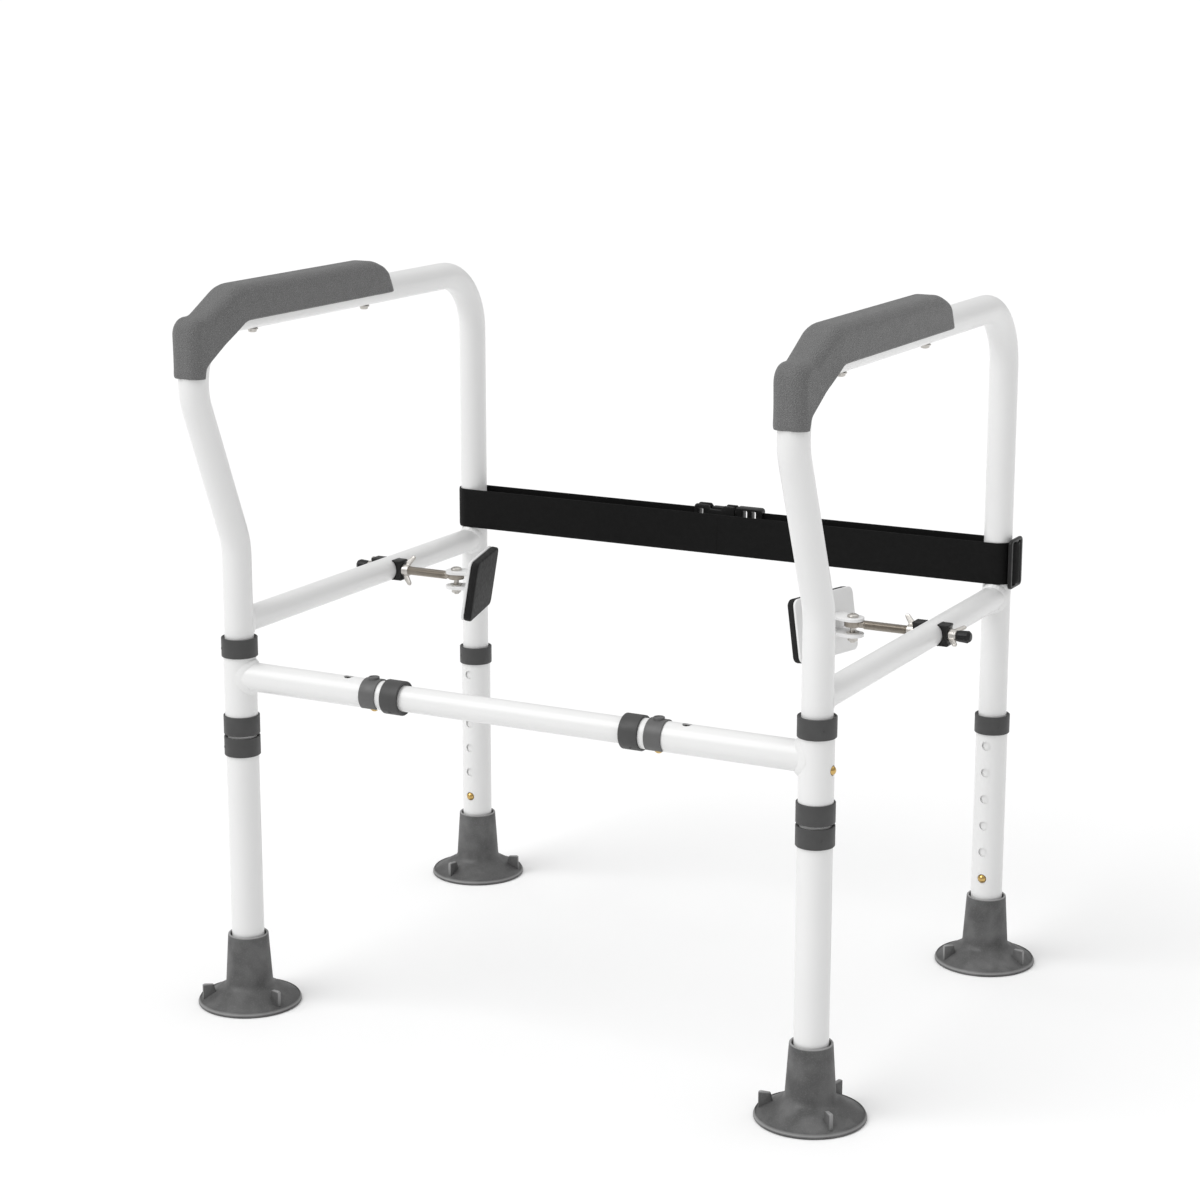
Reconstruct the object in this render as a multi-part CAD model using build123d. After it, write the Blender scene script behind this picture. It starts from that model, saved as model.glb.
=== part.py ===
"""Toilet safety frame: two bent side frames on adjustable legs and a telescoping front crossbar.

Millimetres. X runs to the user's right as seen from the front, Y to the rear and Z up.
The origin is on the floor, in the middle of the frame. The right side is drawn and mirrored for the left.
"""
import math
import os

from build123d import *

# Frame layout
LEG_SPACING = 547.0
LEG_DEPTH = 404.4
ARM_TOP_Z = 614.2
RAIL_Z = 348.6
CROSSBAR_Z = 301.2
HOLE_PITCH = 25.4
FOOT_RADIUS = 46.0
PAD_REACH = 69.0

# Gap between touching pieces, and how far a cutter runs past what it cuts
SNUG = 0.05
CUT = 20.0

# Tubes: outer radius and wall
WALL = 1.2
ARM_R = 12.7
RAIL_R = 11.1
LEG_R = 14.3
OUTER_BAR_R = 12.7
MIDDLE_BAR_R = 11.1

# Arm tube bends
ARM_LEAN = 54.0
LEAN_START_Z = 419.6
LEAN_END_Z = 552.6
ARM_END_Z = 62.0
ARM_BENDS = [60.0, 50.0, 50.0, 57.0]

# Legs and feet
LEG_BOTTOM_Z = 22.2
FRONT_LEG_TOP_Z = 247.0
REAR_LEG_TOP_Z = 238.3
LOWEST_HOLE_Z = 83.5
LEG_HOLES = 6
FOOT_TOP_Z = 64.0
FOOT_RIM_Z = 2.6
FOOT_NECK = (21.0, 17.0)
FOOT_NECK_FILLET = 7.0
FOOT_LIP_R = 18.0
TAB = (12.5, 3.4, 15.0)
TAB_AT = (36.0, 4.0)
TAB_ANGLES = {"right_front": -43, "left_front": -17, "right_rear": -13, "left_rear": 17}

# Collars
COLLAR_HEIGHT = 17.0
COLLAR_R = 15.9
COLLAR_LIP = 2.0
LIP_GAP = 0.45
SLEEVE_BOTTOM_Z = 249.0
SLEEVE_TOP_Z = 336.0
SLEEVE_BUTTON_Z = 293.0

# Crossbar
MIDDLE_BAR_HALF = 152.0
BAR_END_X = 105.0
BAR_COLLAR_R = 14.8
BAR_BUTTON_X = 135.4
CLIP_WIDTH = 15.5
CLIP_R = 14.1
CLIP_GAP_DEG = 80.0
CLIP_BOSS = (4.8, 2.6)
CLIP_PEG = (3.6, 2.4)

# Snap buttons
BUTTON_R = 3.7
BUTTON_HOLE_R = 4.2
BUTTON_STAND = 2.3
SPRING_THICKNESS = 0.7
SPRING_WIDTH = 7.0
SPRING_LENGTH = 38.0
SPRING_TAIL = 6.0

# Bowl clamps
ROD_Y = 245.5
ROD_R = 3.95
ROD_HOLE_R = 4.5
PIN_X = 200.0
PIN_R = 2.45
EYE_R = 7.5
EYE_THICKNESS = 5.0
EYE_NECK = 6.6
ROD_END_X = 305.8
CAP_START_X = 296.4
CAP_END_X = 308.5
CAP_WALL = 1.05
SADDLE_HEIGHT = 19.0
SADDLE_WIDTH = 13.0
SADDLE_INNER = 6.5
SADDLE_OUTER = 16.0
SADDLE_SEAT = 6.2
SADDLE_FLARE = 1.2
NUT_LENGTH = 6.4
NUT_GAP = 0.1
THREAD_GAP = 0.08
WING_SPAN = 14.0
WING_REACH = 10.5
WING_HALF_THICKNESS = 1.1
INNER_WING_DEG = 70.0
OUTER_WING_DEG = 25.0
PLATE = (79.0, 56.5, 2.6)
PLATE_RUBBER = 7.0
PLATE_CORNER = 6.0
PLATE_STAND = 20.5
PLATE_SHIFT = 10.0
PLATE_PITCH_DEG = 9.0
PLATE_YAW_DEG = 16.0
EAR_R = 10.0
EAR_THICKNESS = 3.0
EAR_TOP = 2.8
EAR_BOTTOM = -8.3
BOLT_HEAD = (5.2, 2.8)
BOLT_WASHER = (5.6, 1.0)
BOLT_NUT = (4.6, 4.2)
BOLT_TAIL = 5.5

# Arm pads
PAD_HALF_WIDTH = 16.5
KNOB_HALF_WIDTH = 14.6
KNOB_TAPER = (-50.0, -8.0)
PAD_TOP = 643.0
PAD_BOTTOM = 570.0
PAD_EDGE_Z = 612.0
SCREW_YS = (33.0, 210.0)
SCREW_R = 2.0
SCREW_BITE = 9.0
SCREW_WASHER = (5.0, 1.2)
SCREW_HEAD = (3.8, 2.4)

# Rear strap
WEB_Z = (362.0, 400.0)
WEB_THICKNESS = 1.5
WEB_GAP = 0.4
BUCKLE = (36.0, 46.0, 12.0)
GLIDE = (3.4, 30.0, 45.0)
GLIDE_WINDOW = 7.4
GLIDE_BAR = 5.8
PLUG_START_X = 7.3
PRONG_X = -12.0

HALF = LEG_SPACING / 2
FRONT_Y = (PAD_REACH - LEG_DEPTH - FOOT_RADIUS) / 2
REAR_Y = FRONT_Y + LEG_DEPTH
CLAMP_Y = FRONT_Y + ROD_Y
LEG_YS = {"front": FRONT_Y, "rear": REAR_Y}
FLOOR_UP = (Align.CENTER, Align.CENTER, Align.MIN)
FROM_X = (Align.MIN, Align.CENTER, Align.CENTER)
TO_X = (Align.MAX, Align.CENTER, Align.CENTER)
FROM_CORNER = (Align.MIN, Align.MIN, Align.MIN)
TURNS = {"x": Rot(0, 90, 0), "y": Rot(-90, 0, 0), "z": Rot(0, 0, 0)}


def bar(axis, start, length, radius):
    """A solid cylinder that runs from start along +axis."""
    return Pos(*start) * TURNS[axis] * Cylinder(radius, length, align=FLOOR_UP)


def pipe(axis, start, length, outer, inner):
    return bar(axis, start, length, outer) - bar(axis, start, length, inner)


def save(name, shape, side="right"):
    """Write one sub-part; the left one is the right one mirrored."""
    placed = mirror(shape, about=Plane.YZ) if side == "left" else shape
    export_step(placed, f"parts/{name}.step")


def save_pair(name, shape):
    for side in ("right", "left"):
        save(f"{side}_{name}", shape, side)


def arm_corners():
    lean_y = FRONT_Y - ARM_LEAN
    return [
        (HALF, FRONT_Y, ARM_END_Z),
        (HALF, FRONT_Y, LEAN_START_Z),
        (HALF, lean_y, LEAN_END_Z),
        (HALF, lean_y, ARM_TOP_Z),
        (HALF, REAR_Y, ARM_TOP_Z),
        (HALF, REAR_Y, ARM_END_Z),
    ]


def swept_arm(section):
    path = FilletPolyline(*arm_corners(), radius=ARM_BENDS)
    return sweep(Plane(arm_corners()[0]) * section, path=path)


def button_bore(direction, at):
    """A cutter for a snap button's hole, from a tube's axis outwards."""
    axis, sign = direction
    start = list(at)
    if sign < 0:
        start["xyz".index(axis)] -= CUT
    return bar(axis, start, CUT, BUTTON_HOLE_R)


def through_bore(axis, at, radius):
    """A cutter that runs both ways from a point."""
    start = list(at)
    start["xyz".index(axis)] -= CUT
    return bar(axis, start, 2 * CUT, radius)


def arm_tube():
    tube = swept_arm(Circle(ARM_R) - Circle(ARM_R - WALL))
    tube -= button_bore(("y", 1), (HALF, FRONT_Y, LOWEST_HOLE_Z))
    tube -= button_bore(("y", -1), (HALF, REAR_Y, LOWEST_HOLE_Z))
    tube -= button_bore(("x", 1), (HALF, FRONT_Y, SLEEVE_BUTTON_Z))
    for y in SCREW_YS:
        tube -= through_bore("z", (HALF, FRONT_Y + y, ARM_TOP_Z), SCREW_R + 0.2)
    return tube


def side_rail():
    rail = pipe("y", (HALF, FRONT_Y, RAIL_Z), LEG_DEPTH, RAIL_R, RAIL_R - WALL)
    for y in LEG_YS.values():
        rail -= through_bore("z", (HALF, y, RAIL_Z), ARM_R)
    return rail - through_bore("x", (HALF, CLAMP_Y, RAIL_Z), ROD_HOLE_R)


def pad_outline():
    """Side view of the pad: a knob over the front bend, a valley, then the long flat rest."""
    knob_z = PAD_TOP - 21
    corners = [
        (FRONT_Y - PAD_REACH, PAD_BOTTOM),
        (FRONT_Y - PAD_REACH, knob_z),
        (FRONT_Y - 49, knob_z - 1),
        (FRONT_Y - 5, PAD_TOP),
        (FRONT_Y + 212, PAD_TOP),
        (FRONT_Y + 234, PAD_TOP - 9),
        (FRONT_Y + 240, PAD_EDGE_Z),
        (FRONT_Y + 3.5, PAD_EDGE_Z),
        (FRONT_Y - 54, PAD_EDGE_Z - 33),
        (FRONT_Y - 57, PAD_BOTTOM),
    ]
    radii = [4, 12, 25, 40, 40, 14, 3, 20, 8, 3]
    return make_face(FilletPolyline(*corners, radius=radii, close=True))


def pad_plan():
    """Top view of the pad: the knob is narrower than the rest."""
    front, rear = FRONT_Y - PAD_REACH - 1, FRONT_Y + 241
    narrow, wide = (FRONT_Y + y for y in KNOB_TAPER)
    knob, rest = KNOB_HALF_WIDTH, PAD_HALF_WIDTH
    side = [(knob, front), (knob, narrow), (rest, wide), (rest, rear)]
    points = [(HALF + x, y) for x, y in side] + [(HALF - x, y) for x, y in reversed(side)]
    return make_face(Polyline(*points, close=True))


def arm_pad():
    """A foam pad that covers the outer half of the tube round its front bend."""
    face = Plane.YZ.offset(HALF - PAD_HALF_WIDTH) * pad_outline()
    pad = extrude(face, amount=2 * PAD_HALF_WIDTH, dir=(1, 0, 0))
    pad &= extrude(Pos(0, 0, PAD_BOTTOM - 1) * pad_plan(), amount=PAD_TOP - PAD_BOTTOM + 2)
    for y in SCREW_YS:
        depth = ARM_R + SCREW_BITE + SNUG
        pad -= bar("z", (HALF, FRONT_Y + y, ARM_TOP_Z), depth, SCREW_R + SNUG)
    return pad - swept_arm(Circle(ARM_R + SNUG))


def pad_screws():
    """Pan-head screws with washers, up through the arm tube into the pad."""
    screws = []
    for y in SCREW_YS:
        at = (HALF, FRONT_Y + y, ARM_TOP_Z - ARM_R)
        shank = bar("z", at, 2 * ARM_R + SCREW_BITE, SCREW_R)
        washer_r, washer_t = SCREW_WASHER
        head_r, head_t = SCREW_HEAD
        washer = Pos(0, 0, -washer_t) * bar("z", at, washer_t, washer_r)
        head = Pos(0, 0, -washer_t - head_t) * bar("z", at, head_t, head_r)
        screws.append(shank + washer + head)
    return Compound(children=screws)


def collar(outer, bore, lip_bore, lip_up=True):
    """A moulded end ring, with its lip over the tube's end; its base is at z = 0."""
    ring = pipe("z", (0, 0, 0), COLLAR_HEIGHT, outer, bore)
    ring += pipe("z", (0, 0, COLLAR_HEIGHT - COLLAR_LIP), COLLAR_LIP, outer, lip_bore)
    rims = ring.edges().filter_by(GeomType.CIRCLE)
    outer_rims = [e for e in rims if abs(e.radius - outer) < 0.01]
    ring = chamfer(outer_rims, 0.7)
    return ring if lip_up else Pos(0, 0, COLLAR_HEIGHT) * Rot(180, 0, 0) * ring


def leg_collar(y, top_z):
    ring = collar(COLLAR_R, LEG_R + SNUG, ARM_R + LIP_GAP)
    return Pos(HALF, y, top_z - COLLAR_HEIGHT) * ring


def sleeve_collars():
    size = (COLLAR_R, LEG_R + SNUG, ARM_R + LIP_GAP)
    upper = Pos(HALF, FRONT_Y, SLEEVE_TOP_Z - COLLAR_HEIGHT) * collar(*size)
    lower = Pos(HALF, FRONT_Y, SLEEVE_BOTTOM_Z) * collar(*size, lip_up=False)
    return Compound(children=[upper, lower])


def t_sleeve():
    low = SLEEVE_BOTTOM_Z + COLLAR_LIP
    length = SLEEVE_TOP_Z - COLLAR_LIP - low
    sleeve = pipe("z", (HALF, FRONT_Y, low), length, LEG_R, LEG_R - WALL)
    return sleeve - button_bore(("x", 1), (HALF, FRONT_Y, SLEEVE_BUTTON_Z))


def crossbar_tube():
    start = BAR_END_X + COLLAR_LIP
    at = (start, FRONT_Y, CROSSBAR_Z)
    tube = pipe("x", at, HALF - start, OUTER_BAR_R, OUTER_BAR_R - WALL)
    tube -= through_bore("z", (HALF, FRONT_Y, CROSSBAR_Z), LEG_R)
    for x in (BAR_BUTTON_X, BAR_BUTTON_X + HOLE_PITCH):
        tube -= through_bore("z", (x, FRONT_Y, CROSSBAR_Z), BUTTON_HOLE_R)
    return tube


def crossbar_collar():
    ring = collar(BAR_COLLAR_R, OUTER_BAR_R + SNUG, MIDDLE_BAR_R + LIP_GAP, lip_up=False)
    return Pos(BAR_END_X, FRONT_Y, CROSSBAR_Z) * Rot(0, 90, 0) * ring


def lock_clip():
    """A spring clip over the bar, open underneath, with a boss and a peg in the top hole."""
    start = (BAR_BUTTON_X - CLIP_WIDTH / 2, FRONT_Y, CROSSBAR_Z)
    clip = pipe("x", start, CLIP_WIDTH, CLIP_R, OUTER_BAR_R + SNUG)
    reach = 2 * CLIP_R
    side = reach * math.tan(math.radians(CLIP_GAP_DEG / 2))
    wedge = Polyline((0, 0), (-side, -reach), (side, -reach), close=True)
    cutter = extrude(Plane.YZ * make_face(wedge), amount=CLIP_WIDTH, both=True)
    clip -= Pos(BAR_BUTTON_X, FRONT_Y, CROSSBAR_Z) * cutter
    for low, (radius, height) in ((CLIP_R - 1, CLIP_BOSS), (MIDDLE_BAR_R + 0.5, CLIP_PEG)):
        clip += bar("z", (BAR_BUTTON_X, FRONT_Y, CROSSBAR_Z + low), height, radius)
    return clip


def snap_button(bore_r, tip_r):
    """A domed button on a hairpin leaf spring, pointing to +X from a tube's axis along Z."""
    offset = bore_r - 1.7
    shoulder = tip_r - BUTTON_STAND
    body = bar("x", (offset + 0.1, 0, 0), shoulder - offset - 0.1, BUTTON_R)
    ball_r = (BUTTON_R**2 + BUTTON_STAND**2) / (2 * BUTTON_STAND)
    dome = Pos(tip_r - ball_r, 0, 0) * Sphere(ball_r)
    dome &= bar("x", (shoulder, 0, 0), BUTTON_STAND + 1, BUTTON_R)
    waist = offset - 1.2
    path = FilletPolyline(
        (offset, 0, -SPRING_TAIL),
        (waist, 0, SPRING_LENGTH),
        (-waist, 0, SPRING_LENGTH),
        (-offset, 0, -SPRING_TAIL),
        radius=waist - 0.3,
    )
    strip = Plane((offset, 0, -SPRING_TAIL)) * Rectangle(SPRING_THICKNESS, SPRING_WIDTH)
    return body + dome + sweep(strip, path=path)


def leg_button(y, heading_deg):
    button = snap_button(ARM_R - WALL, LEG_R + BUTTON_STAND)
    return Pos(HALF, y, LOWEST_HOLE_Z) * Rot(0, 0, heading_deg) * button


def sleeve_button():
    return Pos(HALF, FRONT_Y, SLEEVE_BUTTON_Z) * snap_button(ARM_R - WALL, LEG_R + BUTTON_STAND)


def crossbar_button():
    """The spring runs to the bar's middle and the button points down."""
    button = snap_button(MIDDLE_BAR_R - WALL, OUTER_BAR_R + BUTTON_STAND)
    turned = mirror(Rot(0, 90, 0) * button, about=Plane.YZ)
    return Pos(BAR_BUTTON_X, FRONT_Y, CROSSBAR_Z) * turned


def middle_bar():
    start = (-MIDDLE_BAR_HALF, FRONT_Y, CROSSBAR_Z)
    tube = pipe("x", start, 2 * MIDDLE_BAR_HALF, MIDDLE_BAR_R, MIDDLE_BAR_R - WALL)
    for x in (BAR_BUTTON_X, -BAR_BUTTON_X):
        tube -= button_bore(("z", -1), (x, FRONT_Y, CROSSBAR_Z))
    return tube


def leg_tube(y, top_z, facing):
    start = (HALF, y, LEG_BOTTOM_Z)
    length = top_z - COLLAR_LIP - LEG_BOTTOM_Z
    tube = pipe("z", start, length, LEG_R, LEG_R - WALL)
    for n in range(LEG_HOLES):
        tube -= button_bore(("y", facing), (HALF, y, LOWEST_HOLE_Z + n * HOLE_PITCH))
    return tube


def foot_profile():
    """Half section of the suction foot, with a cupped underside and a socket for the leg."""
    bore = LEG_R + SNUG
    floor = LEG_BOTTOM_Z - 0.2
    edge = (FOOT_RADIUS, FOOT_RIM_Z)
    lip = (FOOT_LIP_R, FOOT_TOP_Z)
    cup_top = (0, 6.5)
    cup_rim = (42.5, 0)
    edges = [
        Polyline(cup_rim, (FOOT_RADIUS, 0), edge),
        FilletPolyline(edge, FOOT_NECK, lip, radius=FOOT_NECK_FILLET),
        Polyline(lip, (16.3, FOOT_TOP_Z), (bore, FOOT_TOP_Z - 7)),
        Polyline((bore, FOOT_TOP_Z - 7), (bore, floor), (0, floor), cup_top),
        Spline(cup_top, (24, 4.2), cup_rim, tangents=[(1, 0), (1, -0.35)]),
    ]
    return make_face(Plane.XZ * Curve(children=edges))


def foot(first_tab_deg):
    solid = revolve(foot_profile(), Axis.Z)
    tab = Pos(TAB_AT[0], 0, TAB_AT[1]) * Box(*TAB, align=FLOOR_UP)
    tab = fillet(tab.edges().filter_by(Axis.Y).group_by(Axis.Z)[-1], 1.5)
    for turn in (0, 120, 240):
        solid += Rot(0, 0, first_tab_deg + turn) * tab
    return solid


def clamp_rod():
    at = (PIN_X + EAR_R + 0.6, CLAMP_Y, RAIL_Z)
    rod = bar("x", at, ROD_END_X - at[0], ROD_R)
    eye = bar("z", (PIN_X, CLAMP_Y, RAIL_Z - EYE_THICKNESS / 2), EYE_THICKNESS, EYE_R)
    neck = Box(EAR_R + 2, EYE_NECK, EYE_THICKNESS, align=FROM_X)
    eye += Pos(PIN_X, CLAMP_Y, RAIL_Z) * neck
    return rod + (eye - through_bore("z", (PIN_X, CLAMP_Y, RAIL_Z), PIN_R + SNUG))


def rod_cap():
    length = CAP_END_X - CAP_START_X
    at = (CAP_START_X, CLAMP_Y, RAIL_Z)
    cap = bar("x", at, length, ROD_R + CAP_WALL)
    cap = chamfer(cap.edges().group_by(Axis.X)[-1], 0.9)
    return cap - bar("x", at, ROD_END_X + 0.2 - CAP_START_X, ROD_R + SNUG)


def saddle(outward):
    """A moulded block hollowed to sit against the rail; outward is 1 or -1."""
    half = SADDLE_HEIGHT / 2
    lip = SADDLE_OUTER + SADDLE_FLARE
    side = [(SADDLE_INNER, half), (lip, half), (SADDLE_OUTER, SADDLE_SEAT)]
    points = side + [(x, -z) for x, z in reversed(side)]
    section = make_face(Polyline(*((HALF + outward * x, RAIL_Z + z) for x, z in points), close=True))
    block = extrude(Plane.XZ.offset(-CLAMP_Y) * section, amount=SADDLE_WIDTH / 2, both=True)
    block = fillet(block.edges().filter_by(Axis.X).group_by(Axis.Z)[-1], 1.5)
    block = fillet(block.edges().filter_by(Axis.X).group_by(Axis.Z)[0], 1.5)
    block -= through_bore("y", (HALF, CLAMP_Y, RAIL_Z), RAIL_R + SNUG)
    return block - through_bore("x", (HALF, CLAMP_Y, RAIL_Z), ROD_HOLE_R)


def wing_nut():
    """A wing nut along +X with its flat face at x = 0 and its wings in the XY plane."""
    hub = Cone(5.8, 4.9, NUT_LENGTH, rotation=(0, 90, 0), align=FLOOR_UP)
    root = [(0.9, 7.0), (0.9, 3.5), (5.2, 4.6)]
    tip = [(WING_REACH, 11.4), (WING_REACH, WING_SPAN), (7.2, WING_SPAN)]
    wing = extrude(make_face(Polyline(*root, *tip, close=True)), amount=WING_HALF_THICKNESS, both=True)
    wing = fillet(wing.edges().filter_by(Axis.Z).group_by(Axis.Y)[-1], 1.4)
    nut = hub + wing + Rot(180, 0, 0) * wing
    return nut - through_bore("x", (0, 0, 0), ROD_R + THREAD_GAP)


def clamp_nut(outward, wing_deg):
    face = HALF + outward * (SADDLE_OUTER + NUT_GAP)
    nut = Rot(wing_deg, 0, 0) * wing_nut()
    if outward < 0:
        nut = mirror(nut, about=Plane.YZ)
    return Pos(face, CLAMP_Y, RAIL_Z) * nut


def slab(thickness, gap):
    """A rounded plate of the clamp face's size, gap behind the plate's outer face."""
    width, height, _ = PLATE
    plate = fillet(Box(thickness, width, height, align=TO_X).edges().filter_by(Axis.X), PLATE_CORNER)
    middle = (EAR_TOP + EAR_BOTTOM) / 2
    tilt = Pos(-PLATE_STAND, -PLATE_SHIFT, middle) * Rot(0, -PLATE_PITCH_DEG, 0)
    return tilt * Pos(-gap, 0, 0) * plate


def at_pivot(shape):
    return Pos(PIN_X, CLAMP_Y, RAIL_Z) * Rot(0, 0, -PLATE_YAW_DEG) * shape


def clamp_plate():
    """The swivelling plate with the two ears that carry the pivot bolt."""
    plate = slab(PLATE[2], 0)
    reach = PLATE_STAND + 1.2
    for low in (EAR_TOP, EAR_BOTTOM - EAR_THICKNESS):
        ear = Box(reach, 2 * EAR_R, EAR_THICKNESS, align=(Align.MAX, Align.CENTER, Align.MIN))
        ear += bar("z", (0, 0, 0), EAR_THICKNESS, EAR_R)
        plate += Pos(0, 0, low) * (ear - through_bore("z", (0, 0, 0), PIN_R + SNUG))
    return at_pivot(plate)


def clamp_rubber():
    return at_pivot(slab(PLATE_RUBBER, PLATE[2]))


def pivot_bolt():
    """Pan-head bolt, the washer on the lower ear and the hexagon nut beneath it."""
    head_z = EAR_TOP + EAR_THICKNESS
    nut_z = EAR_BOTTOM - EAR_THICKNESS
    bolt = bar("z", (0, 0, nut_z - BOLT_TAIL), head_z - nut_z + BOLT_TAIL, PIN_R)
    head = bar("z", (0, 0, head_z), BOLT_HEAD[1], BOLT_HEAD[0])
    bolt += chamfer(head.edges().group_by(Axis.Z)[-1], 1.2)
    washer = pipe("z", (0, 0, EAR_BOTTOM), BOLT_WASHER[1], BOLT_WASHER[0], PIN_R + SNUG)
    nut = extrude(RegularPolygon(BOLT_NUT[0], 6), amount=BOLT_NUT[1])
    nut -= through_bore("z", (0, 0, 0), PIN_R + SNUG)
    below = nut_z - BOLT_NUT[1] - 2 * SNUG
    return at_pivot(Compound(children=[bolt, washer, Pos(0, 0, below) * nut]))


def strap_half():
    """One half of the webbing loop: round a rear upright and back to the middle."""
    inner = ARM_R + WEB_GAP
    outer = inner + WEB_THICKNESS
    low, high = WEB_Z
    height = high - low
    band = pipe("z", (HALF, REAR_Y, low), height, outer, inner)
    band &= Pos(HALF, REAR_Y - CUT, low) * Box(CUT, 2 * CUT, height, align=FROM_CORNER)
    for y, start in ((-outer, 2 * SNUG), (inner, BUCKLE[0])):
        run = Box(HALF - start, WEB_THICKNESS, height, align=FROM_CORNER)
        band += Pos(start, REAR_Y + y, low) * run
    return band


def tri_glide():
    """A three-bar slide on the outside of the strap at the right upright."""
    depth, length, height = GLIDE
    middle = (WEB_Z[0] + WEB_Z[1]) / 2
    frame = Box(depth, length, height)
    frame = fillet(frame.edges().filter_by(Axis.X), 4.0)
    for side in (-1, 1):
        window = Box(CUT, GLIDE_WINDOW, height - 6)
        frame -= Pos(0, side * (GLIDE_WINDOW + GLIDE_BAR) / 2, 0) * window
    x = HALF + ARM_R + WEB_GAP + WEB_THICKNESS + 0.3 + depth / 2
    return Pos(x, REAR_Y, middle) * frame


def buckle_place(shape):
    middle = (WEB_Z[0] + WEB_Z[1]) / 2
    return Pos(0, REAR_Y + ARM_R + WEB_GAP + WEB_THICKNESS / 2, middle) * shape


def buckle_socket():
    """The female half, open to +X, with a window on each edge and a slot for the webbing."""
    half, height, depth = BUCKLE
    body = Pos(1 - half, 0, 0) * Box(half + 6, depth, height, align=FROM_X)
    body = fillet(body.edges().filter_by(Axis.Y), 3.0)
    body -= Pos(-half / 2, 0, 0) * Box(half, depth - 4, height - 9, align=FROM_X)
    body -= Pos(PRONG_X, 0, 0) * Box(13, depth - 5, height + 4)
    web_slot = Pos(7.5 - half, 0, 0) * Box(5, 2 * depth, height - 6)
    return buckle_place(body - web_slot)


def buckle_plug():
    """The male half: two side prongs and a guide in the socket, and a ladder bar for the webbing."""
    half, height, depth = BUCKLE
    body = Pos(PLUG_START_X, 0, 0) * Box(half - PLUG_START_X - 1, depth - 2, height, align=FROM_X)
    body = fillet(body.edges().filter_by(Axis.Y), 3.0)
    for x in (17.5, 26.5):
        body -= Pos(x, 0, 0) * Box(4.5, 2 * depth, height - 6)
    for z, width in ((15, 5), (-15, 5), (0, 8)):
        body += Pos(PLUG_START_X + 2, 0, z) * Box(25, depth - 5, width, align=TO_X)
    for z in (18.5, -18.5):
        body += Pos(PRONG_X, 0, z) * Box(10, depth - 6, 7)
    return buckle_place(body)


def build_legs():
    tops = {"front": FRONT_LEG_TOP_Z, "rear": REAR_LEG_TOP_Z}
    facing = {"front": 1, "rear": -1}
    for end, y in LEG_YS.items():
        save_pair(f"{end}_leg_tube", leg_tube(y, tops[end], facing[end]))
        save_pair(f"{end}_leg_collar", leg_collar(y, tops[end]))
        save_pair(f"{end}_leg_button", leg_button(y, 90 * facing[end]))
    for name, angle in TAB_ANGLES.items():
        side, end = name.split("_")
        placed = Pos(HALF if side == "right" else -HALF, LEG_YS[end], 0) * foot(angle)
        save(f"{name}_foot", placed)


def build_sides():
    save_pair("arm_tube", arm_tube())
    save_pair("side_rail", side_rail())
    save_pair("arm_pad", arm_pad())
    save_pair("pad_screws", pad_screws())
    save_pair("t_sleeve", t_sleeve())
    save_pair("sleeve_collars", sleeve_collars())
    save_pair("sleeve_button", sleeve_button())
    save_pair("crossbar_tube", crossbar_tube())
    save_pair("crossbar_collar", crossbar_collar())
    save_pair("lock_clip", lock_clip())


def build_clamps():
    save_pair("clamp_rod", clamp_rod())
    save_pair("rod_cap", rod_cap())
    save_pair("rail_saddles", Compound(children=[saddle(1), saddle(-1)]))
    save_pair("inner_wing_nut", clamp_nut(-1, INNER_WING_DEG))
    save_pair("outer_wing_nut", clamp_nut(1, OUTER_WING_DEG))
    save_pair("clamp_plate", clamp_plate())
    save_pair("clamp_rubber", clamp_rubber())
    save_pair("pivot_bolt", pivot_bolt())


def build_middle():
    save("crossbar_middle_bar", middle_bar())
    save_pair("crossbar_button", crossbar_button())
    save_pair("strap_half", strap_half())
    save("strap_tri_glide", tri_glide())
    save("buckle_socket", buckle_socket())
    save("buckle_plug", buckle_plug())


os.makedirs("parts", exist_ok=True)
build_legs()
build_sides()
build_clamps()
build_middle()
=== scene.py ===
"""Toilet safety frame: its finished look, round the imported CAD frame.

Shapes are worked out in millimetres, and piece() scales them to metres.
X runs to the right, Y to the rear and Z up.
"""
import math

import bmesh
import bpy
from mathutils import Matrix, Vector


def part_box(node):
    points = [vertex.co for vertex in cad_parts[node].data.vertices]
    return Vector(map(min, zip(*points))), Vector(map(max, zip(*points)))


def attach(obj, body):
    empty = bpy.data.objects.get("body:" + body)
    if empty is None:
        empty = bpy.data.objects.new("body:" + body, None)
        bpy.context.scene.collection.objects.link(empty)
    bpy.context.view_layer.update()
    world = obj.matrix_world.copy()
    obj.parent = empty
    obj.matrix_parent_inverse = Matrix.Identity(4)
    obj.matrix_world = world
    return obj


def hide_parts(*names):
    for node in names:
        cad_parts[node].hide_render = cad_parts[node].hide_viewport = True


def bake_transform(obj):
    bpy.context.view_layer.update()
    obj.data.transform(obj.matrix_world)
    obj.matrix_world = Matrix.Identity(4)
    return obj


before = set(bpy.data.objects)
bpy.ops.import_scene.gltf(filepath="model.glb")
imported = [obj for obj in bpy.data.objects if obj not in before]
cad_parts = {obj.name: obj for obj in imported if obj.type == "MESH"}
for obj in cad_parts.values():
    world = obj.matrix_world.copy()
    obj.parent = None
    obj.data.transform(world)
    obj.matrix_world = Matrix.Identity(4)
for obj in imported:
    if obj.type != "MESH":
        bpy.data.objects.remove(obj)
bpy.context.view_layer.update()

MM = 0.001
WHOLE_TURN = 2 * math.pi
SAME_POINT = 1e-4
SHARP_EDGE_DEG = 38


# ---------------------------------------------------------------- sizes read from the frame

def middle(node):
    low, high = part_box(node)
    return (low + high) / (2 * MM)


def extent(node):
    low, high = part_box(node)
    return (high - low) / MM


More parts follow.
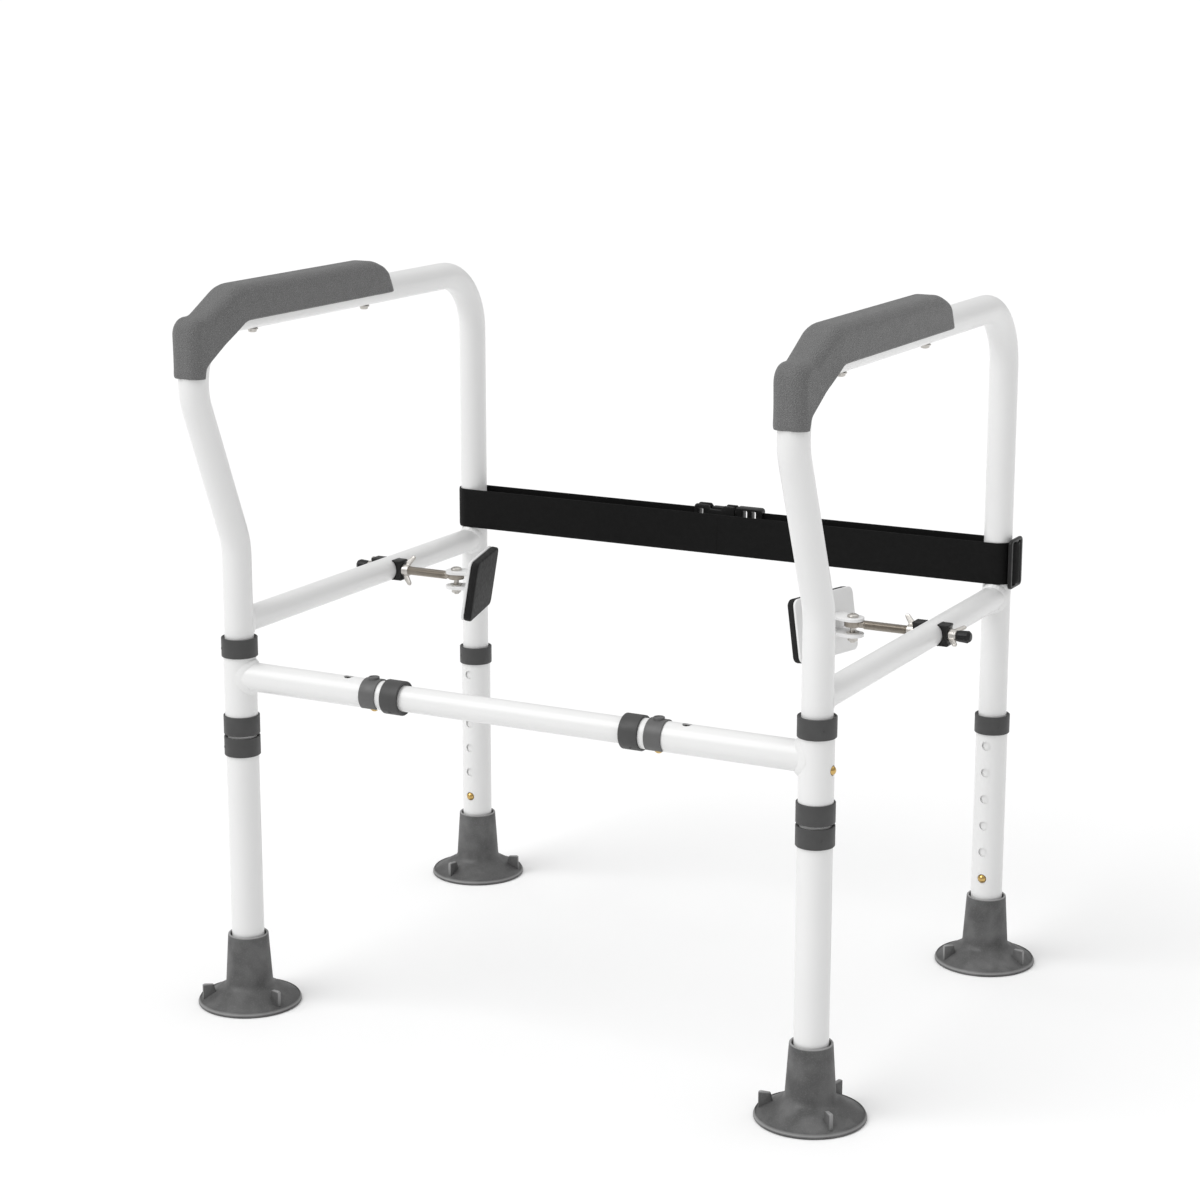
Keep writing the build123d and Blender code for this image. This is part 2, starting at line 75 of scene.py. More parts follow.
def top(node):
    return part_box(node)[1].z / MM


def bottom(node):
    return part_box(node)[0].z / MM


HALF = middle("right_front_leg_tube").x
FRONT_Y = middle("right_front_leg_tube").y
REAR_Y = middle("right_rear_leg_tube").y
RAIL_Z = middle("right_side_rail").z
CROSSBAR_Z = middle("crossbar_middle_bar").z
CLAMP_Y = middle("right_rod_cap").y
LEG_R = extent("right_front_leg_tube").x / 2
ARM_R = extent("right_arm_tube").x / 2
RAIL_R = extent("right_side_rail").x / 2
BAR_R = extent("right_crossbar_tube").z / 2
MIDDLE_R = extent("crossbar_middle_bar").z / 2
COLLAR_HEIGHT = extent("right_front_leg_collar").z
COLLAR_R = extent("right_front_leg_collar").x / 2
ARM_TOP_Z = top("right_arm_tube") - ARM_R
WALL = 1.2
FIT = 0.05  # how far a bore stands off its tube


# ---------------------------------------------------------------- mesh building

def skin(rows, ring=False, capped=False):
    """Quads over rows of points, each row a closed loop; ring joins the last row to the first."""
    bm = bmesh.new()
    grid = [[bm.verts.new(point) for point in row] for row in rows]
    for i in range(len(grid) if ring else len(grid) - 1):
        a, b = grid[i], grid[(i + 1) % len(grid)]
        for j in range(len(a)):
            k = (j + 1) % len(a)
            bm.faces.new((a[j], a[k], b[k], b[j]))
    if capped:
        bm.faces.new(grid[0])
        bm.faces.new(grid[-1])
    bmesh.ops.remove_doubles(bm, verts=bm.verts, dist=SAME_POINT)
    bmesh.ops.recalc_face_normals(bm, faces=bm.faces)
    return bm


def lathe(profile, segments):
    """A closed profile of (radius, height) turned about Z; a third value gives the number of flats there."""
    rows = []
    for k in range(segments):
        angle = WHOLE_TURN * k / segments
        row = []
        for radius, height, *flats in profile:
            if flats:
                side = WHOLE_TURN / flats[0]
                radius /= math.cos((angle + side / 2) % side - side / 2)
            row.append(Vector((radius * math.cos(angle), radius * math.sin(angle), height)))
        rows.append(row)
    return skin(rows, ring=True)


def sweep(path, section, up):
    """Carries a closed section along a path; section(i) gives its (sideways, upwards) points at path[i]."""
    rows = []
    for i, here in enumerate(path):
        run = (path[min(i + 1, len(path) - 1)] - path[max(i - 1, 0)]).normalized()
        side = run.cross(Vector(up)).normalized()
        rise = side.cross(run)
        rows.append([here + side * a + rise * b for a, b in section(i)])
    return skin(rows, capped=True)


def rounded(corners, radii, steps=5):
    """A closed outline of 2-D corners, each turned into an arc of its radius."""
    outline = []
    for i, corner in enumerate(corners):
        radius = radii[i] if isinstance(radii, (list, tuple)) else radii
        here = Vector(corner)
        if radius == 0:
            outline.append(here)
            continue
        a = (Vector(corners[i - 1]) - here).normalized()
        b = (Vector(corners[(i + 1) % len(corners)]) - here).normalized()
        half = a.angle(b) / 2
        centre = here + (a + b).normalized() * radius / math.sin(half)
        start = here + a * radius / math.tan(half) - centre
        end = here + b * radius / math.tan(half) - centre
        for k in range(steps + 1):
            outline.append(centre + start.lerp(end, k / steps).normalized() * radius)
    return outline


def shaped(corners, steps):
    """A rounded outline, from a dictionary that gives each corner its radius."""
    return rounded(list(corners), list(corners.values()), steps)


def arc(radius, start, end, steps):
    """Points about the origin from one angle to another, with both ends."""
    angles = [start + (end - start) * k / steps for k in range(steps + 1)]
    return [Vector((radius * math.cos(a), radius * math.sin(a))) for a in angles]


def circle(radius, count):
    return arc(radius, 0, WHOLE_TURN, count)[:-1]


def rectangle(width, height, radius, at=(0, 0)):
    w, h = width / 2, height / 2
    x, y = at
    return rounded([(x - w, y - h), (x + w, y - h), (x + w, y + h), (x - w, y + h)], radius)


def plate(outlines, thickness, edge):
    """A plate in the XY plane, about z = 0, with rounded edges; the outlines after the first are holes."""
    curve = bpy.data.curves.new("outline", "CURVE")
    curve.dimensions = "2D"
    curve.fill_mode = "BOTH"
    curve.extrude = thickness / 2 - edge
    curve.bevel_depth = edge
    curve.bevel_resolution = 2
    curve.offset = -edge
    for outline in outlines:
        spline = curve.splines.new("POLY")
        spline.points.add(len(outline) - 1)
        for point, place in zip(spline.points, outline):
            point.co = (place.x, place.y, 0, 1)
        spline.use_cyclic_u = True
    holder = bpy.data.objects.new("outline", curve)
    mesh = bpy.data.meshes.new_from_object(holder)
    bm = bmesh.new()
    bm.from_mesh(mesh)
    bmesh.ops.remove_doubles(bm, verts=bm.verts, dist=SAME_POINT)
    bmesh.ops.recalc_face_normals(bm, faces=bm.faces)
    bpy.data.objects.remove(holder)
    bpy.data.curves.remove(curve)
    bpy.data.meshes.remove(mesh)
    return bm


def block(size, edge, at):
    """A box with rounded edges."""
    bm = bmesh.new()
    bmesh.ops.create_cube(bm, size=1)
    bmesh.ops.scale(bm, vec=size, verts=bm.verts)
    bmesh.ops.bevel(bm, geom=bm.edges[:], offset=edge, segments=3, profile=0.5, affect="EDGES")
    bmesh.ops.translate(bm, vec=at, verts=bm.verts)
    return bm


def merge(*parts):
    """All the parts in the first one."""
    whole = parts[0]
    for part in parts[1:]:
        mesh = bpy.data.meshes.new("part")
        part.to_mesh(mesh)
        whole.from_mesh(mesh)
        bpy.data.meshes.remove(mesh)
    return whole


def moved(bm, place):
    bmesh.ops.transform(bm, matrix=place, verts=bm.verts)
    return bm


def along(axis, at=(0, 0, 0)):
    """A placement whose Z points along axis."""
    return Matrix.Translation(at) @ Vector(axis).to_track_quat("Z", "Y").to_matrix().to_4x4()


def cast(bm, voxel, softness):
    """The overlapping solids of bm melted into one skin."""
    mesh = bpy.data.meshes.new("cast")
    bm.to_mesh(mesh)
    holder = bpy.data.objects.new("cast", mesh)
    bpy.context.scene.collection.objects.link(holder)
    remesh = holder.modifiers.new("melt", "REMESH")
    remesh.mode = "VOXEL"
    remesh.voxel_size = voxel
    smooth = holder.modifiers.new("soften", "SMOOTH")
    smooth.iterations = softness
    result = holder.evaluated_get(bpy.context.evaluated_depsgraph_get()).to_mesh()
    bm.clear()
    bm.from_mesh(result)
    bpy.data.objects.remove(holder)
    bpy.data.meshes.remove(mesh)
    return bm


def mirrored(bm):
    bmesh.ops.scale(bm, vec=(-1, 1, 1), verts=bm.verts)
    bmesh.ops.reverse_faces(bm, faces=bm.faces)
    return bm


def piece(name, bm, body, slot, material, *nodes):
    """Turns bm into a shown piece that rides on a body and stands for the CAD nodes."""
    bmesh.ops.scale(bm, vec=(MM, MM, MM), verts=bm.verts)
    mesh = bpy.data.meshes.new(name)
    bm.to_mesh(mesh)
    bm.free()
    mesh.shade_smooth()
    mesh.set_sharp_from_angle(angle=math.radians(SHARP_EDGE_DEG))
    obj = bpy.data.objects.new(name, mesh)
    bpy.context.scene.collection.objects.link(obj)
    mesh.materials.append(material)
    if nodes:
        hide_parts(*nodes)
    if body:
        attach(obj, body)
    return obj


def pair(name, make, body, slot, material, *nodes):
    """A piece on the right and its mirror image on the left; with no body, they ride on none."""
    result = []
    for side in ("right", "left"):
        bm = make() if side == "right" else mirrored(make())
        own = [f"{side}_{node}" for node in nodes]
        rides = f"{side}_{body}" if body else None
        result.append(piece(f"{side}_{name}", bm, rides, slot, material, *own))
    return result


# ---------------------------------------------------------------- materials

COLOUR_A, COLOUR_B, MIXED_COLOUR = 6, 7, 2  # a Mix node's colour sockets, which share their names with others


class Finish:
    """A procedural material: a mottled colour, a roughness that varies and a grain in relief."""

    def __init__(self, name, colour, mottle, roughness):
        self.material = bpy.data.materials.new(name)
        self.material.use_nodes = True
        self.tree = self.material.node_tree
        self.shader = self.tree.nodes["Principled BSDF"]
        self.place = self.tree.nodes.new("ShaderNodeTexCoord").outputs["Object"]
        self.colour = None
        self.relief = None
        self.layer(self.noise(mottle, 4), *colour)
        self.set("Roughness", self.ramp(self.noise(mottle * 3, 3), *roughness))

    def noise(self, scale, detail, squeeze=None):
        """Soft spots; a squeeze over 1 shortens them along that axis and one under 1 draws them out."""
        place = self.place
        if squeeze:
            mapping = self.tree.nodes.new("ShaderNodeMapping")
            mapping.inputs["Scale"].default_value = squeeze
            self.join(place, mapping.inputs["Vector"])
            place = mapping.outputs["Vector"]
        node = self.tree.nodes.new("ShaderNodeTexNoise")
        node.inputs["Scale"].default_value = scale
        node.inputs["Detail"].default_value = detail
        self.join(place, node.inputs["Vector"])
        return node.outputs["Fac"]

    def cells(self, scale):
        """The distance to the middle of each cell."""
        node = self.tree.nodes.new("ShaderNodeTexVoronoi")
        node.inputs["Scale"].default_value = scale
        self.join(self.place, node.inputs["Vector"])
        return node.outputs["Distance"]

    def ramp(self, value, low, high, start=0.3, end=0.7):
        """From low to high while value goes from start to end."""
        node = self.tree.nodes.new("ShaderNodeMapRange")
        self.join(value, node.inputs["Value"])
        for socket, number in (("From Min", start), ("From Max", end), ("To Min", low), ("To Max", high)):
            node.inputs[socket].default_value = number
        return node.outputs["Result"]

    def layer(self, factor, a, b):
        """The base colour goes from a to b with the factor; either may be the colour so far."""
        node = self.tree.nodes.new("ShaderNodeMix")
        node.data_type = "RGBA"
        self.join(factor, node.inputs["Factor"])
        for socket, value in ((node.inputs[COLOUR_A], a), (node.inputs[COLOUR_B], b)):
            if isinstance(value, tuple):
                socket.default_value = (*value, 1)
            else:
                self.join(value, socket)
        self.colour = node.outputs[MIXED_COLOUR]
        return self.set("Base Color", self.colour)

    def join(self, output, socket):
        self.tree.links.new(output, socket)

    def set(self, socket, value):
        if isinstance(value, (int, float)):
            self.shader.inputs[socket].default_value = value
        else:
            self.join(value, self.shader.inputs[socket])
        return self

    def bump(self, height, distance, strength):
        """Relief on top of the relief so far."""
        node = self.tree.nodes.new("ShaderNodeBump")
        node.inputs["Strength"].default_value = strength
        node.inputs["Distance"].default_value = distance
        self.join(height, node.inputs["Height"])
        if self.relief is not None:
            self.join(self.relief, node.inputs["Normal"])
        self.relief = node.outputs["Normal"]
        return self.set("Normal", self.relief)

    def painted_highlight(self, light):
        """Painted highlight: paler where the piece's own edge attribute says so."""
        node = self.tree.nodes.new("ShaderNodeAttribute")
        node.attribute_name = "edge"
        return self.layer(node.outputs["Fac"], self.colour, light)


def grey(level):
    return (level, level, level)


def powder_coat():
    finish = Finish("powder_coat", ((0.765, 0.765, 0.762), (0.80, 0.80, 0.797)), 14, (0.28, 0.38))
    finish.bump(finish.noise(620, 2), 0.00012, 0.5)
    return finish.set("Coat Weight", 0.15).set("Coat Roughness", 0.2).material


def dark_plastic():
    finish = Finish("collar_plastic", (grey(0.046), grey(0.066)), 60, (0.44, 0.56))
    finish.bump(finish.noise(1500, 3), 0.00008, 0.5)
    return finish.set("Specular IOR Level", 0.4).material


def clip_plastic():
    finish = Finish("clip_plastic", (grey(0.085), grey(0.115)), 70, (0.40, 0.52))
    finish.bump(finish.noise(1500, 3), 0.00006, 0.5)
    return finish.material


def arm_foam():
    """Pebbled, with painted shade in the valleys between the pebbles and fine pale specks."""
    finish = Finish("arm_foam", (grey(0.168), grey(0.196)), 30, (0.50, 0.64))
    pebble_and_shade = finish.ramp(finish.cells(780), 1.0, 0.0, start=0.10, end=0.62)
    # painted shade: the valleys between the pebbles, low in the same relief, are darkened to grey 0.120
    finish.layer(pebble_and_shade, grey(0.120), finish.colour)
    speck = finish.ramp(finish.noise(1700, 2), 0.0, 0.35, start=0.56, end=0.72)
    finish.layer(speck, finish.colour, grey(0.38))
    finish.bump(pebble_and_shade, 0.0006, 0.9)
    finish.bump(finish.noise(160, 3), 0.0003, 0.4)
    return finish.set("Sheen Weight", 0.05).material


def foot_rubber():
    """Dusty smudges, a fine speckle and a painted highlight on the edges."""
    finish = Finish("foot_rubber", (grey(0.052), grey(0.085)), 34, (0.46, 0.62))
    smudge = finish.ramp(finish.noise(52, 2), 0.0, 0.60, start=0.38, end=0.74)
    finish.layer(smudge, finish.colour, grey(0.165))
    fine = finish.ramp(finish.noise(900, 2), 0.0, 0.25, start=0.50, end=0.75)
    finish.layer(fine, finish.colour, grey(0.20))
    # painted highlight: the rims, crests and tab ends are lightened towards grey 0.34
    finish.painted_highlight(grey(0.34))
    finish.bump(finish.noise(700, 4), 0.00018, 0.6)
    return finish.material


def steel(name, colour, roughness):
    finish = Finish(name, colour, 120, roughness)
    finish.bump(finish.noise(900, 3, (1, 1, 6)), 0.00006, 0.4)
    return finish.set("Metallic", 1.0).material


def black_plastic():
    finish = Finish("black_plastic", (grey(0.006), grey(0.011)), 80, (0.34, 0.46))
    finish.bump(finish.noise(1300, 3), 0.00008, 0.5)
    return finish.set("Specular IOR Level", 0.3).material


def black_rubber():
    finish = Finish("pad_rubber", (grey(0.006), grey(0.012)), 90, (0.58, 0.72))
    finish.bump(finish.noise(900, 3), 0.00012, 0.5)
    return finish.set("Specular IOR Level", 0.25).material


def webbing():
    finish = Finish("webbing", (grey(0.003), grey(0.007)), 200, (0.50, 0.66))
    finish.bump(finish.noise(2600, 2, (1, 1, 0.25)), 0.00012, 0.7)
    return finish.set("Specular IOR Level", 0.12).material


COAT = powder_coat()
COLLAR = dark_plastic()
CLIP = clip_plastic()
FOAM = arm_foam()
FOOT = foot_rubber()
ZINC = steel("zinc_steel", ((0.50, 0.48, 0.45), (0.62, 0.60, 0.57)), (0.26, 0.40))
THREAD = steel("threaded_steel", ((0.30, 0.27, 0.235), (0.42, 0.385, 0.34)), (0.32, 0.46))
BRASS = steel("button_brass", ((0.52, 0.34, 0.11), (0.66, 0.46, 0.18)), (0.12, 0.22))
BLACK = black_plastic()
RUBBER = black_rubber()
WEB = webbing()


# ---------------------------------------------------------------- tubes and welds

def dress_tubes():
    """The plain tubes show the CAD's own shapes, in the frame's coat."""
    names = ["crossbar_middle_bar"]
    for side in ("right", "left"):
        for node in ("arm_tube", "side_rail", "t_sleeve", "crossbar_tube", "front_leg_tube", "rear_leg_tube"):
            names.append(f"{side}_{node}")
    for name in names:
        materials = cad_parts[name].data.materials
        materials.clear()
        materials.append(COAT)


WELD_LEG = 3.5
WELD_BULGE = 0.66
WELD_RIPPLES = 24
WELD_RIPPLE_HEIGHT = 0.12
POST_SINK, TUBE_SINK, ROOT_SINK = 0.3, 0.1, 0.7  # how far the bead goes under the surfaces


def weld_bead(post_radius, tube_radius, post, axis):
    """A shallow fillet of weld where a tube along axis meets an upright post."""
    axis, post = Vector(axis), Vector(post)
    side = axis.cross(Vector((0, 0, 1)))
    rows, turns, steps = [], 144, 8
    for k in range(turns):
        angle = WHOLE_TURN * k / turns
        out = side * math.cos(angle) + Vector((0, 0, math.sin(angle)))
        across = tube_radius * math.cos(angle)
        ahead = math.sqrt(post_radius**2 - across**2)
        radial = (side * across + axis * ahead) / post_radius
        along_post = (out - radial * out.dot(radial)).normalized()
        root = post + out * tube_radius + axis * ahead
        leg = WELD_LEG + WELD_RIPPLE_HEIGHT * math.sin(WELD_RIPPLES * angle)
        a = root + along_post * leg - radial * POST_SINK
        b = root + axis * leg - out * TUBE_SINK
        bend = root + (along_post + axis) * leg * WELD_BULGE
        crest = [a.lerp(bend, t / steps).lerp(bend.lerp(b, t / steps), t / steps) for t in range(steps + 1)]
        rows.append(crest + [root - (radial + out) * ROOT_SINK])
    return skin(rows, ring=True)


def build_welds():
    welds = {
        "front_rail_weld": (ARM_R, RAIL_R, (HALF, FRONT_Y, RAIL_Z), (0, 1, 0)),
        "rear_rail_weld": (ARM_R, RAIL_R, (HALF, REAR_Y, RAIL_Z), (0, -1, 0)),
        "crossbar_weld": (LEG_R, BAR_R, (HALF, FRONT_Y, CROSSBAR_Z), (-1, 0, 0)),
    }
    for name, sizes in welds.items():
        pair(name, lambda: weld_bead(*sizes), "frame", "frame_coat", COAT)


# ---------------------------------------------------------------- collars and clips

LIP_DEPTH = 2.0
LIP_RECESS = 0.7
LEG_LIP_GAP, BAR_LIP_GAP = 0.45, 0.4
GATE_MARK = [(0, -0.5), (1.2, -0.5), (1.2, 0.15), (1.0, 0.35), (0.6, 0.35), (0.4, 0.1), (0, 0.1)]
GATE_DEG = -48
GATE_SHARE = 0.45  # of the ring's height
CLIP_WALL = 1.3
CLIP_START_DEG, CLIP_SPAN_DEG = -50, 280
CLIP_BOSS = [(0, -1.2), (4.8, -1.2), (4.8, 1.7), (3.0, 1.7), (3.0, 1.2), (0, 1.2)]


def collar(outer, bore, lip_bore, height):
    """A moulded end ring with its lip at the top, and the small mark where the plastic was let in."""
    seat = height - LIP_RECESS
    corners = [(bore, 0), (outer, 0), (outer, height), (outer - 1.3, height), (outer - 1.6, seat),
               (lip_bore, seat), (lip_bore, height - LIP_DEPTH), (bore, height - LIP_DEPTH)]
    ring = lathe(rounded(corners, [0.2, 0.5, 0.6, 0.25, 0.25, 0.2, 0.2, 0], 3), 80)
    heading = math.radians(GATE_DEG)
    facing = Vector((math.cos(heading), math.sin(heading), 0))
    at = facing * outer + Vector((0, 0, height * GATE_SHARE))
    return merge(ring, moved(lathe(GATE_MARK, 24), along(facing, at)))


def leg_collar(y, base, flip=False):
    ring = collar(COLLAR_R, LEG_R + FIT, ARM_R + LEG_LIP_GAP, COLLAR_HEIGHT)
    if flip:
        ring = moved(ring, Matrix.Translation((0, 0, COLLAR_HEIGHT)) @ Matrix.Rotation(math.pi, 4, "X"))
    return moved(ring, Matrix.Translation((HALF, y, base)))


def sleeve_collars():
    """One on each end of the T-sleeve, their lips outwards."""
    low = bottom("right_sleeve_collars")
    high = top("right_sleeve_collars") - COLLAR_HEIGHT
    return merge(leg_collar(FRONT_Y, high), leg_collar(FRONT_Y, low, flip=True))


def bar_collar():
    centre = middle("right_crossbar_collar")
    size = extent("right_crossbar_collar")
    ring = collar(size.z / 2, BAR_R + FIT, MIDDLE_R + BAR_LIP_GAP, size.x)
    return moved(ring, along((-1, 0, 0), (centre.x + size.x / 2, centre.y, centre.z)))


def lock_clip():
    """A spring clip open underneath, with a dished boss over its peg."""
    centre = Vector((middle("right_lock_clip").x, FRONT_Y, CROSSBAR_Z))
    half = extent("right_lock_clip").x / 2
    section = rounded([(FIT, -half), (CLIP_WALL, -half), (CLIP_WALL, half), (FIT, half)], 0.4, 3)
    rows, steps = [], 72
    for k in range(steps + 1):
        angle = math.radians(CLIP_START_DEG + CLIP_SPAN_DEG * k / steps)
        outward = Vector((0, math.cos(angle), math.sin(angle)))
        rows.append([centre + outward * (BAR_R + a) + Vector((b, 0, 0)) for a, b in section])
    boss = lathe(rounded(CLIP_BOSS, [0, 0.3, 0.6, 0.3, 0.2, 0], 3), 48)
    crown = centre + Vector((0, 0, BAR_R + CLIP_WALL))
    return merge(skin(rows, capped=True), moved(boss, Matrix.Translation(crown)))


def build_collars():
    for end, y in (("front", FRONT_Y), ("rear", REAR_Y)):
        node = f"{end}_leg_collar"
        base = bottom(f"right_{node}")
        pair(f"{end}_leg_ring", lambda: leg_collar(y, base), f"{end}_leg", "collar_plastic", COLLAR, node)
    pair("sleeve_rings", sleeve_collars, "frame", "collar_plastic", COLLAR, "sleeve_collars")
    pair("crossbar_ring", bar_collar, "frame", "collar_plastic", COLLAR, "crossbar_collar")
    pair("lock_clip_ring", lock_clip, "frame", "clip_plastic", CLIP, "lock_clip")


# ---------------------------------------------------------------- feet

FOOT_R = extent("right_front_foot").x / 2
FOOT_TOP = top("right_front_foot")
LEG_BOTTOM = bottom("right_front_leg_tube")
CUP_R, CUP_DEPTH, CUP_POWER = 42.5, 6.5, 2.4
FLANGE_TOP = 2.6
SOCKET_R = 18.0
TAB_HEADINGS = {"right_front": -43, "left_front": -17, "right_rear": -13, "left_rear": 17}
TAB_OUTLINE = {  # (from the foot's axis, height): radius
    (29.5, 6): 0.3, (42.2, 2.9): 0.3, (42.2, 18.3): 0.9, (40.2, 18.9): 0.9, (32.4, 18.2): 1.5,
    (30.8, 12): 1.5,
}
TAB_INNER, TAB_OUTER, TAB_CREST = 30, 42.2, 18.7
TAB_THICKNESS = 3.4
# strength of the painted highlight on the foot's edges
EDGE_HIGHLIGHT = 0.85


def foot_profile():
    """The suction foot's half section: the cup, the flange's rim, the flank and down into the socket."""
    steps = 12
    cup = [(CUP_R * k / steps, CUP_DEPTH * (1 - (k / steps) ** CUP_POWER)) for k in range(steps + 1)]
    rim = [(FOOT_R - 0.7, 0), (FOOT_R - 0.15, 0.35), (FOOT_R, 1.0), (FOOT_R, 1.8),
           (FOOT_R - 0.3, FLANGE_TOP - 0.1)]
    flank = rounded([(FOOT_R - 0.8, FLANGE_TOP + 0.35), (21.0, 17.0), (SOCKET_R, FOOT_TOP - 1.4),
                     (SOCKET_R - 0.1, FOOT_TOP - 1.0)], [0.5, 7.5, 0.3, 0], 14)
    mouth = [(SOCKET_R - 0.1, FOOT_TOP - 0.5), (SOCKET_R - 0.6, FOOT_TOP), (SOCKET_R - 1.6, FOOT_TOP),
             (SOCKET_R - 2.2, FOOT_TOP - 0.6)]
    socket = [(LEG_R + 1.3, FOOT_TOP - 3), (LEG_R + FIT, FOOT_TOP - 9), (LEG_R + FIT, LEG_BOTTOM - 0.1),
              (0, LEG_BOTTOM - 0.1)]
    return cup + rim + flank + mouth + socket


def foot(heading_deg):
    """A foot with its three release tabs, the first at a heading."""
    parts = [lathe(foot_profile(), 112)]
    for turn in (0, 120, 240):
        tab = plate([shaped(TAB_OUTLINE, 4)], TAB_THICKNESS, 0.7)
        tab = moved(tab, Matrix.Rotation(math.pi / 2, 4, "X"))
        parts.append(moved(tab, Matrix.Rotation(math.radians(heading_deg + turn), 4, "Z")))
    return merge(*parts)


def mark_edge_highlights(obj, at):
    """Painted highlight on the flange's rim, the socket's rim and the tabs' crests and outer ends."""
    values = []
    for vert in obj.data.vertices:
        x, y, z = vert.co / MM
        r = math.hypot(x - at.x, y - at.y)
        rim = 1 - abs(r - FOOT_R + 0.4) / 0.5 if z > 1.5 else 0
        mouth = 1 - (FOOT_TOP - z)
        crest = 1 - abs(z - TAB_CREST) / 1.2 if TAB_INNER < r < TAB_OUTER + 0.8 else 0
        end = 0.9 - abs(r - TAB_OUTER) / 0.7 if z > 5 else 0
        values.append(EDGE_HIGHLIGHT * max(0, rim, mouth, crest, end))
    obj.data.attributes.new("edge", "FLOAT", "POINT").data.foreach_set("value", values)


def build_feet():
    for leg, heading_deg in TAB_HEADINGS.items():
        at = middle(f"{leg}_foot")
        bm = moved(foot(heading_deg), Matrix.Translation((at.x, at.y, 0)))
        obj = piece(f"{leg}_suction_foot", bm, f"{leg}_leg", "foot_rubber", FOOT, f"{leg}_foot")
        mark_edge_highlights(obj, at)


# ---------------------------------------------------------------- arm pads

PAD_TOP = top("right_arm_pad")
PAD_BOTTOM = bottom("right_arm_pad")
PAD_FRONT_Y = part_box("right_arm_pad")[0].y / MM
PAD_REAR_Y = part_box("right_arm_pad")[1].y / MM
BEND_R = 50.0
LEAN_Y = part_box("right_arm_tube")[0].y / MM + ARM_R
SLOPE_Y = FRONT_Y + 200  # behind this the sections lean back, towards the rear end's slope
END_LEAN_DEG = 20
KNOB_HALF, REST_HALF = 14.6, 16.5  # half widths
WIDENING = (-50, -8)  # from one to the other, in y from the front upright
FRONT_ROUND, REAR_ROUND = 3.0, 6.0
CROWN = 1.3
KNOB_RUN = 60  # how far along the tube the knob's rounder shoulders fade out
SHOULDER_R, KNOB_SHOULDER_R = 9.0, 10.5


def pad_outline():
    """Side view: a knob over the front bend, a valley, then the long flat rest; open past the rear end."""
    knob_z = PAD_TOP - 21
    edge_z = ARM_TOP_Z - 2.2
    under_z = PAD_BOTTOM - 6
    return shaped({  # (y, z): radius
        (PAD_FRONT_Y, under_z): 0,
        (PAD_FRONT_Y, knob_z + 1): 13,
        (FRONT_Y - 49, knob_z - 1.5): 25,
        (FRONT_Y - 3, PAD_TOP): 42,
        (FRONT_Y + 212, PAD_TOP): 42,
        (FRONT_Y + 237, PAD_TOP - 10): 14,
        (FRONT_Y + 250, edge_z): 0,
        (FRONT_Y + 3.5, edge_z): 20,
        (FRONT_Y - 54, edge_z - 33): 8,
        (FRONT_Y - 57, under_z): 0,
    }, 14)


def reach(outline, start, direction):
    """How far a line through start meets the outline, behind and ahead."""
    across = Vector((-direction.y, direction.x))
    hits = []
    for i, b in enumerate(outline):
        a = outline[i - 1]
        da, db = (a - start).dot(across), (b - start).dot(across)
        if (da < 0) != (db < 0):
            point = a.lerp(b, da / (da - db))
            hits.append((point - start).dot(direction))
    return min(hits), max(hits)


def pad_stations():
    """Places along the tube's centre line in (y, z), each with the direction its section stands in."""
    stations = []
    centre = Vector((LEAN_Y + BEND_R, ARM_TOP_Z - BEND_R))
    first = math.asin((PAD_BOTTOM - centre.y) / BEND_R)
    close_at_start = [0, 0.012, 0.03, 0.055] + [k / 44 for k in range(4, 45)]
    close_at_end = [k / 12 for k in range(1, 12)] + [0.945, 0.97, 0.987, 0.996, 1]
    for share in close_at_start:
        angle = first + (math.pi / 2 - first) * share
        lean = math.pi / 2 * share
        point = centre + BEND_R * Vector((-math.cos(angle), math.sin(angle)))
        stations.append((point, Vector((-math.cos(lean), math.sin(lean)))))
    for k in range(1, 41):
        stations.append((Vector((centre.x + (SLOPE_Y - centre.x) * k / 40, ARM_TOP_Z)), Vector((0, 1))))
    for share in close_at_end:
        lean = math.radians(END_LEAN_DEG) * share
        y = SLOPE_Y + (PAD_REAR_Y - 0.6 - SLOPE_Y) * share
        stations.append((Vector((y, ARM_TOP_Z)), Vector((-math.sin(lean), math.cos(lean)))))
    return stations


def inset(distance, radius):
    """How much a rounded end draws in at a distance from it."""
    if distance >= radius:
        return 0.0
    return radius - math.sqrt(radius**2 - (radius - distance) ** 2)


def pad_section(low, high, half_width, shoulder):
    """The pad's section: flat sides, rounded shoulders, a slight crown and the groove for the tube."""
    groove = ARM_R + FIT
    low = min(max(low, 0.6 - groove), groove - 3)
    shoulder = min(shoulder, (high - low) * 0.7, half_width * 0.9)
    mouth = math.sqrt(groove**2 - low**2)
    inner = max(half_width - 0.9, mouth + 1.2)
    corners = [(inner, low), (half_width, low + 1.2), (half_width - 0.8, high), (0.8 - half_width, high),
               (-half_width, low + 1.2), (-inner, low)]
    outer = rounded(corners, [0.5, 0.6, shoulder, shoulder, 0.6, 0.5], 9)
    for point in outer:
        if point.y > 0:
            point.y -= CROWN * (point.x / half_width) ** 2 * min(1, point.y / high)
    start = math.atan2(low, mouth)
    return outer + arc(groove, math.pi - start, start, 24)


